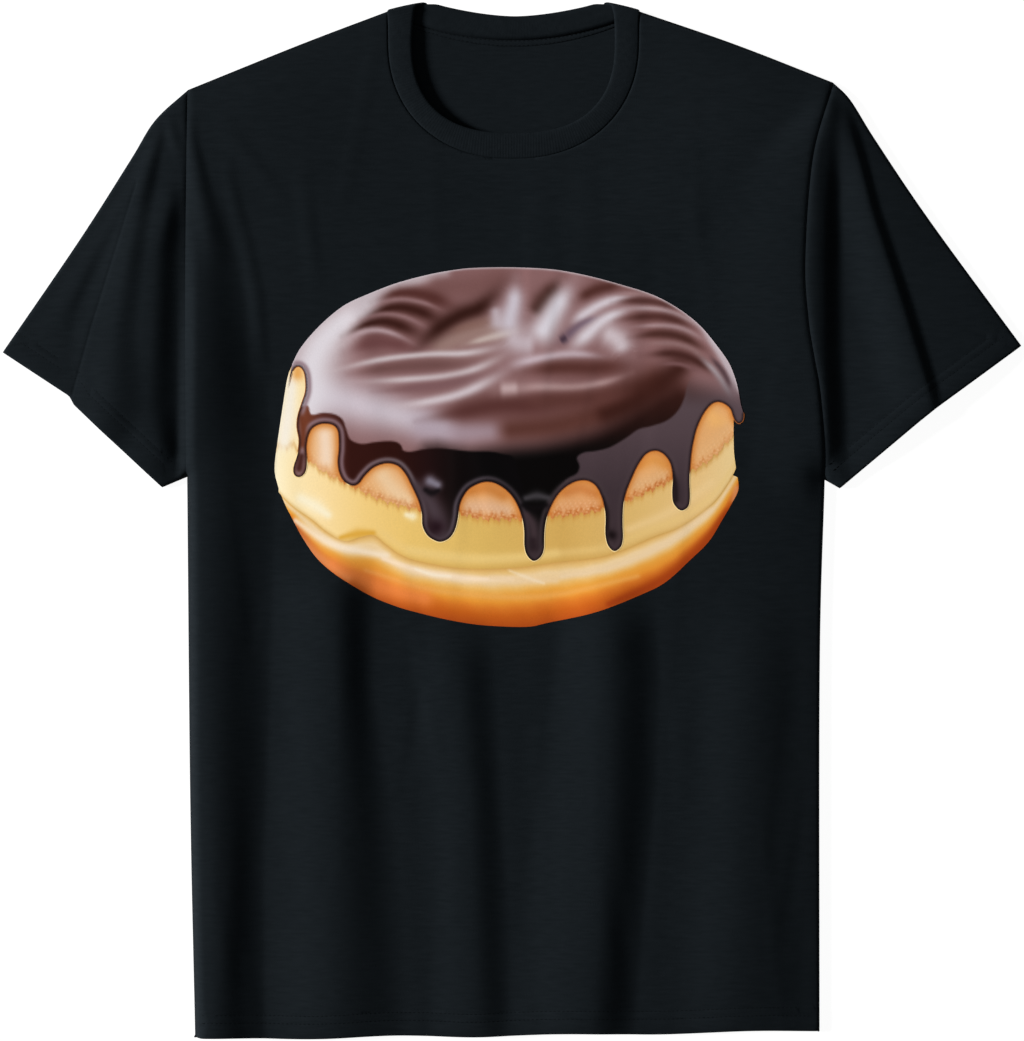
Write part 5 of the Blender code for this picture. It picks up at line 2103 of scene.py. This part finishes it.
    def build(self) -> list[bpy.types.Object]:
        """Make the layers of ink, each a step above the one under it.

        Returns:
            One painted sheet for each layer.
        """
        items = []
        for rank, layer in enumerate(self.layers()):
            outline = Route.through(*np.array(layer.outline.points).T * MM).closed().spaced(self.edge_step)
            plan = Lattice(self.spacing, self.spacing * 0.9).plan(Route(outline.points[:-1]))
            level = self.body.front_height(plan.x, plan.y) + self.first_level + rank * self.level_step
            item = sheet_object(layer.name, plan, level, Layer.UPPER)
            colours = np.ones((len(plan.x), 4))
            colours[:, :3] = screen_to_linear(layer.paint(plan.x / MM, plan.y / MM))
            ink = item.data.color_attributes.new(self.colour_layer, "FLOAT_COLOR", "POINT")
            ink.data.foreach_set("color", colours.astype(np.float32).ravel())
            items.append(item)
        return items


@dataclass(frozen=True)
class Studio:
    """Pale floor, soft key light from the left, fill from all round, and the camera overhead."""

    frame_height: float = 0.7138
    camera_height: float = 2.40
    camera_x: float = 0.0
    camera_y: float = 0.0001
    outline_level: float = 0.004
    sensor: float = 36.0
    key_elevation: float = 22.0
    key_azimuth: float = 172.0
    key_strength: float = 7.0
    key_softness: float = 12.0
    fill: float = 0.135
    sky: Colour = (0.97, 0.99, 1.0)
    floor_glow: float = 0.95
    floor_grey: float = 0.15
    floor_size: float = 8.0
    floor_level: float = -0.0002

    def lay_floor(self) -> None:
        """Make the pale floor that the shirt lies on."""
        half, level = self.floor_size / 2, self.floor_level
        corners = ((-half, -half, level), (half, -half, level), (half, half, level), (-half, half, level))
        floor = new_object("floor", np.array(corners), [(0, 1, 2, 3)], smooth=False)
        nodes = Nodes("pale_floor")
        nodes.set(Roughness=0.9, Specular_IOR_Level=0.0, Emission_Strength=self.floor_glow,
                  Base_Color=(*[self.floor_grey] * 3, 1), Emission_Color=(1, 1, 1, 1))
        floor.data.materials.append(nodes.material)

    def light(self) -> None:
        """Make the key light and the even light all round, shown without a film look."""
        sun = bpy.data.lights.new("key", "SUN")
        sun.energy = self.key_strength
        sun.angle = math.radians(self.key_softness)
        lamp = bpy.data.objects.new("key", sun)
        rise, turn = math.radians(self.key_elevation), math.radians(self.key_azimuth)
        toward = Vector((math.cos(turn) * math.cos(rise), math.sin(turn) * math.cos(rise), math.sin(rise)))
        lamp.rotation_euler = toward.to_track_quat("Z", "Y").to_euler()
        bpy.context.collection.objects.link(lamp)
        world = bpy.data.worlds.new("studio")
        world.use_nodes = True
        background = world.node_tree.nodes["Background"]
        background.inputs["Color"].default_value = (*self.sky, 1)
        background.inputs["Strength"].default_value = self.fill
        bpy.context.scene.world = world
        bpy.context.scene.view_settings.view_transform = "Standard"
        bpy.context.scene.view_settings.look = "None"

    def place_camera(self) -> None:
        """Hang the camera straight over the shirt, with the photograph's frame."""
        camera = bpy.data.cameras.new("overhead")
        camera.sensor_width = self.sensor
        camera.lens = self.sensor * (self.camera_height - self.outline_level) / self.frame_height
        camera.clip_start = 0.05
        camera.clip_end = 50
        eye = bpy.data.objects.new("overhead", camera)
        eye.location = (self.camera_x, self.camera_y, self.camera_height)
        bpy.context.collection.objects.link(eye)
        bpy.context.scene.camera = eye

    def build(self) -> None:
        """Make the floor, the lights and the camera."""
        self.lay_floor()
        self.light()
        self.place_camera()


def report(item: bpy.types.Object, material: bpy.types.Material, slot: str, *nodes: str) -> None:
    """Dress a piece, tie it to the frame and log it.

    Args:
        item: the piece.
        material: its finish.
        slot: not used.
        nodes: the solids that it stands for.
    """
    item.data.materials.append(material)
    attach(item, BODY)
    if nodes:
        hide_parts(*nodes)
    LOG.info("%s: %d vertices", item.name, len(item.data.vertices))


def main() -> None:
    """Build the shirt piece by piece around the frame."""
    logging.basicConfig(level=logging.INFO, format="%(name)s %(message)s")
    pattern = Pattern()
    drape = Drape(pattern)
    jersey = Jersey().material()
    rib = Jersey(name="black_rib", slubs=(300.0, 300.0, 300.0)).material()
    Studio().build()
    thread = Thread().material()
    stitching = Stitching()
    body = Body(pattern, drape)
    front, back = body.build()
    report(front, jersey, "jersey", "front")
    report(back, jersey, "jersey", "back")
    rows = [StitchRow(body.hem_row(up), body.front_height) for up in body.hem.rows]
    report(stitching.build("hem_stitches", rows), thread, "jersey")
    for side in Side:
        arm = Sleeve(pattern, drape, side, creases=(SLEEVE_CREASE,) if side is Side.LEFT else ())
        sleeve = arm.build()
        report(sleeve, jersey, "jersey", f"sleeve_{side.name.lower()}")
        rows = [StitchRow(arm.cuff_row(inward), arm.upper_height) for inward in arm.hem.rows]
        report(stitching.build(f"cuff_stitches_{side.name.lower()}", rows), thread, "jersey")
    collar = RibCollar(pattern, drape).build()
    report(collar, rib, "rib", "collar")
    tape = NeckTape(pattern)
    strip = tape.build()
    report(strip, Jersey(name="black_tape", slubs=(400.0, 900.0, 400.0)).material(), "tape", "neck_tape")
    rows = [StitchRow(tape.row(share), tape.surface) for share in tape.stitch_shares]
    report(stitching.build("tape_stitches", rows), thread, "tape")
    ink = Ink()
    printed = ink.material()
    for layer in DoughnutPrint(body, ink.layer).build():
        report(layer, printed, "print", "print")


if __name__ == "__main__":
    main()
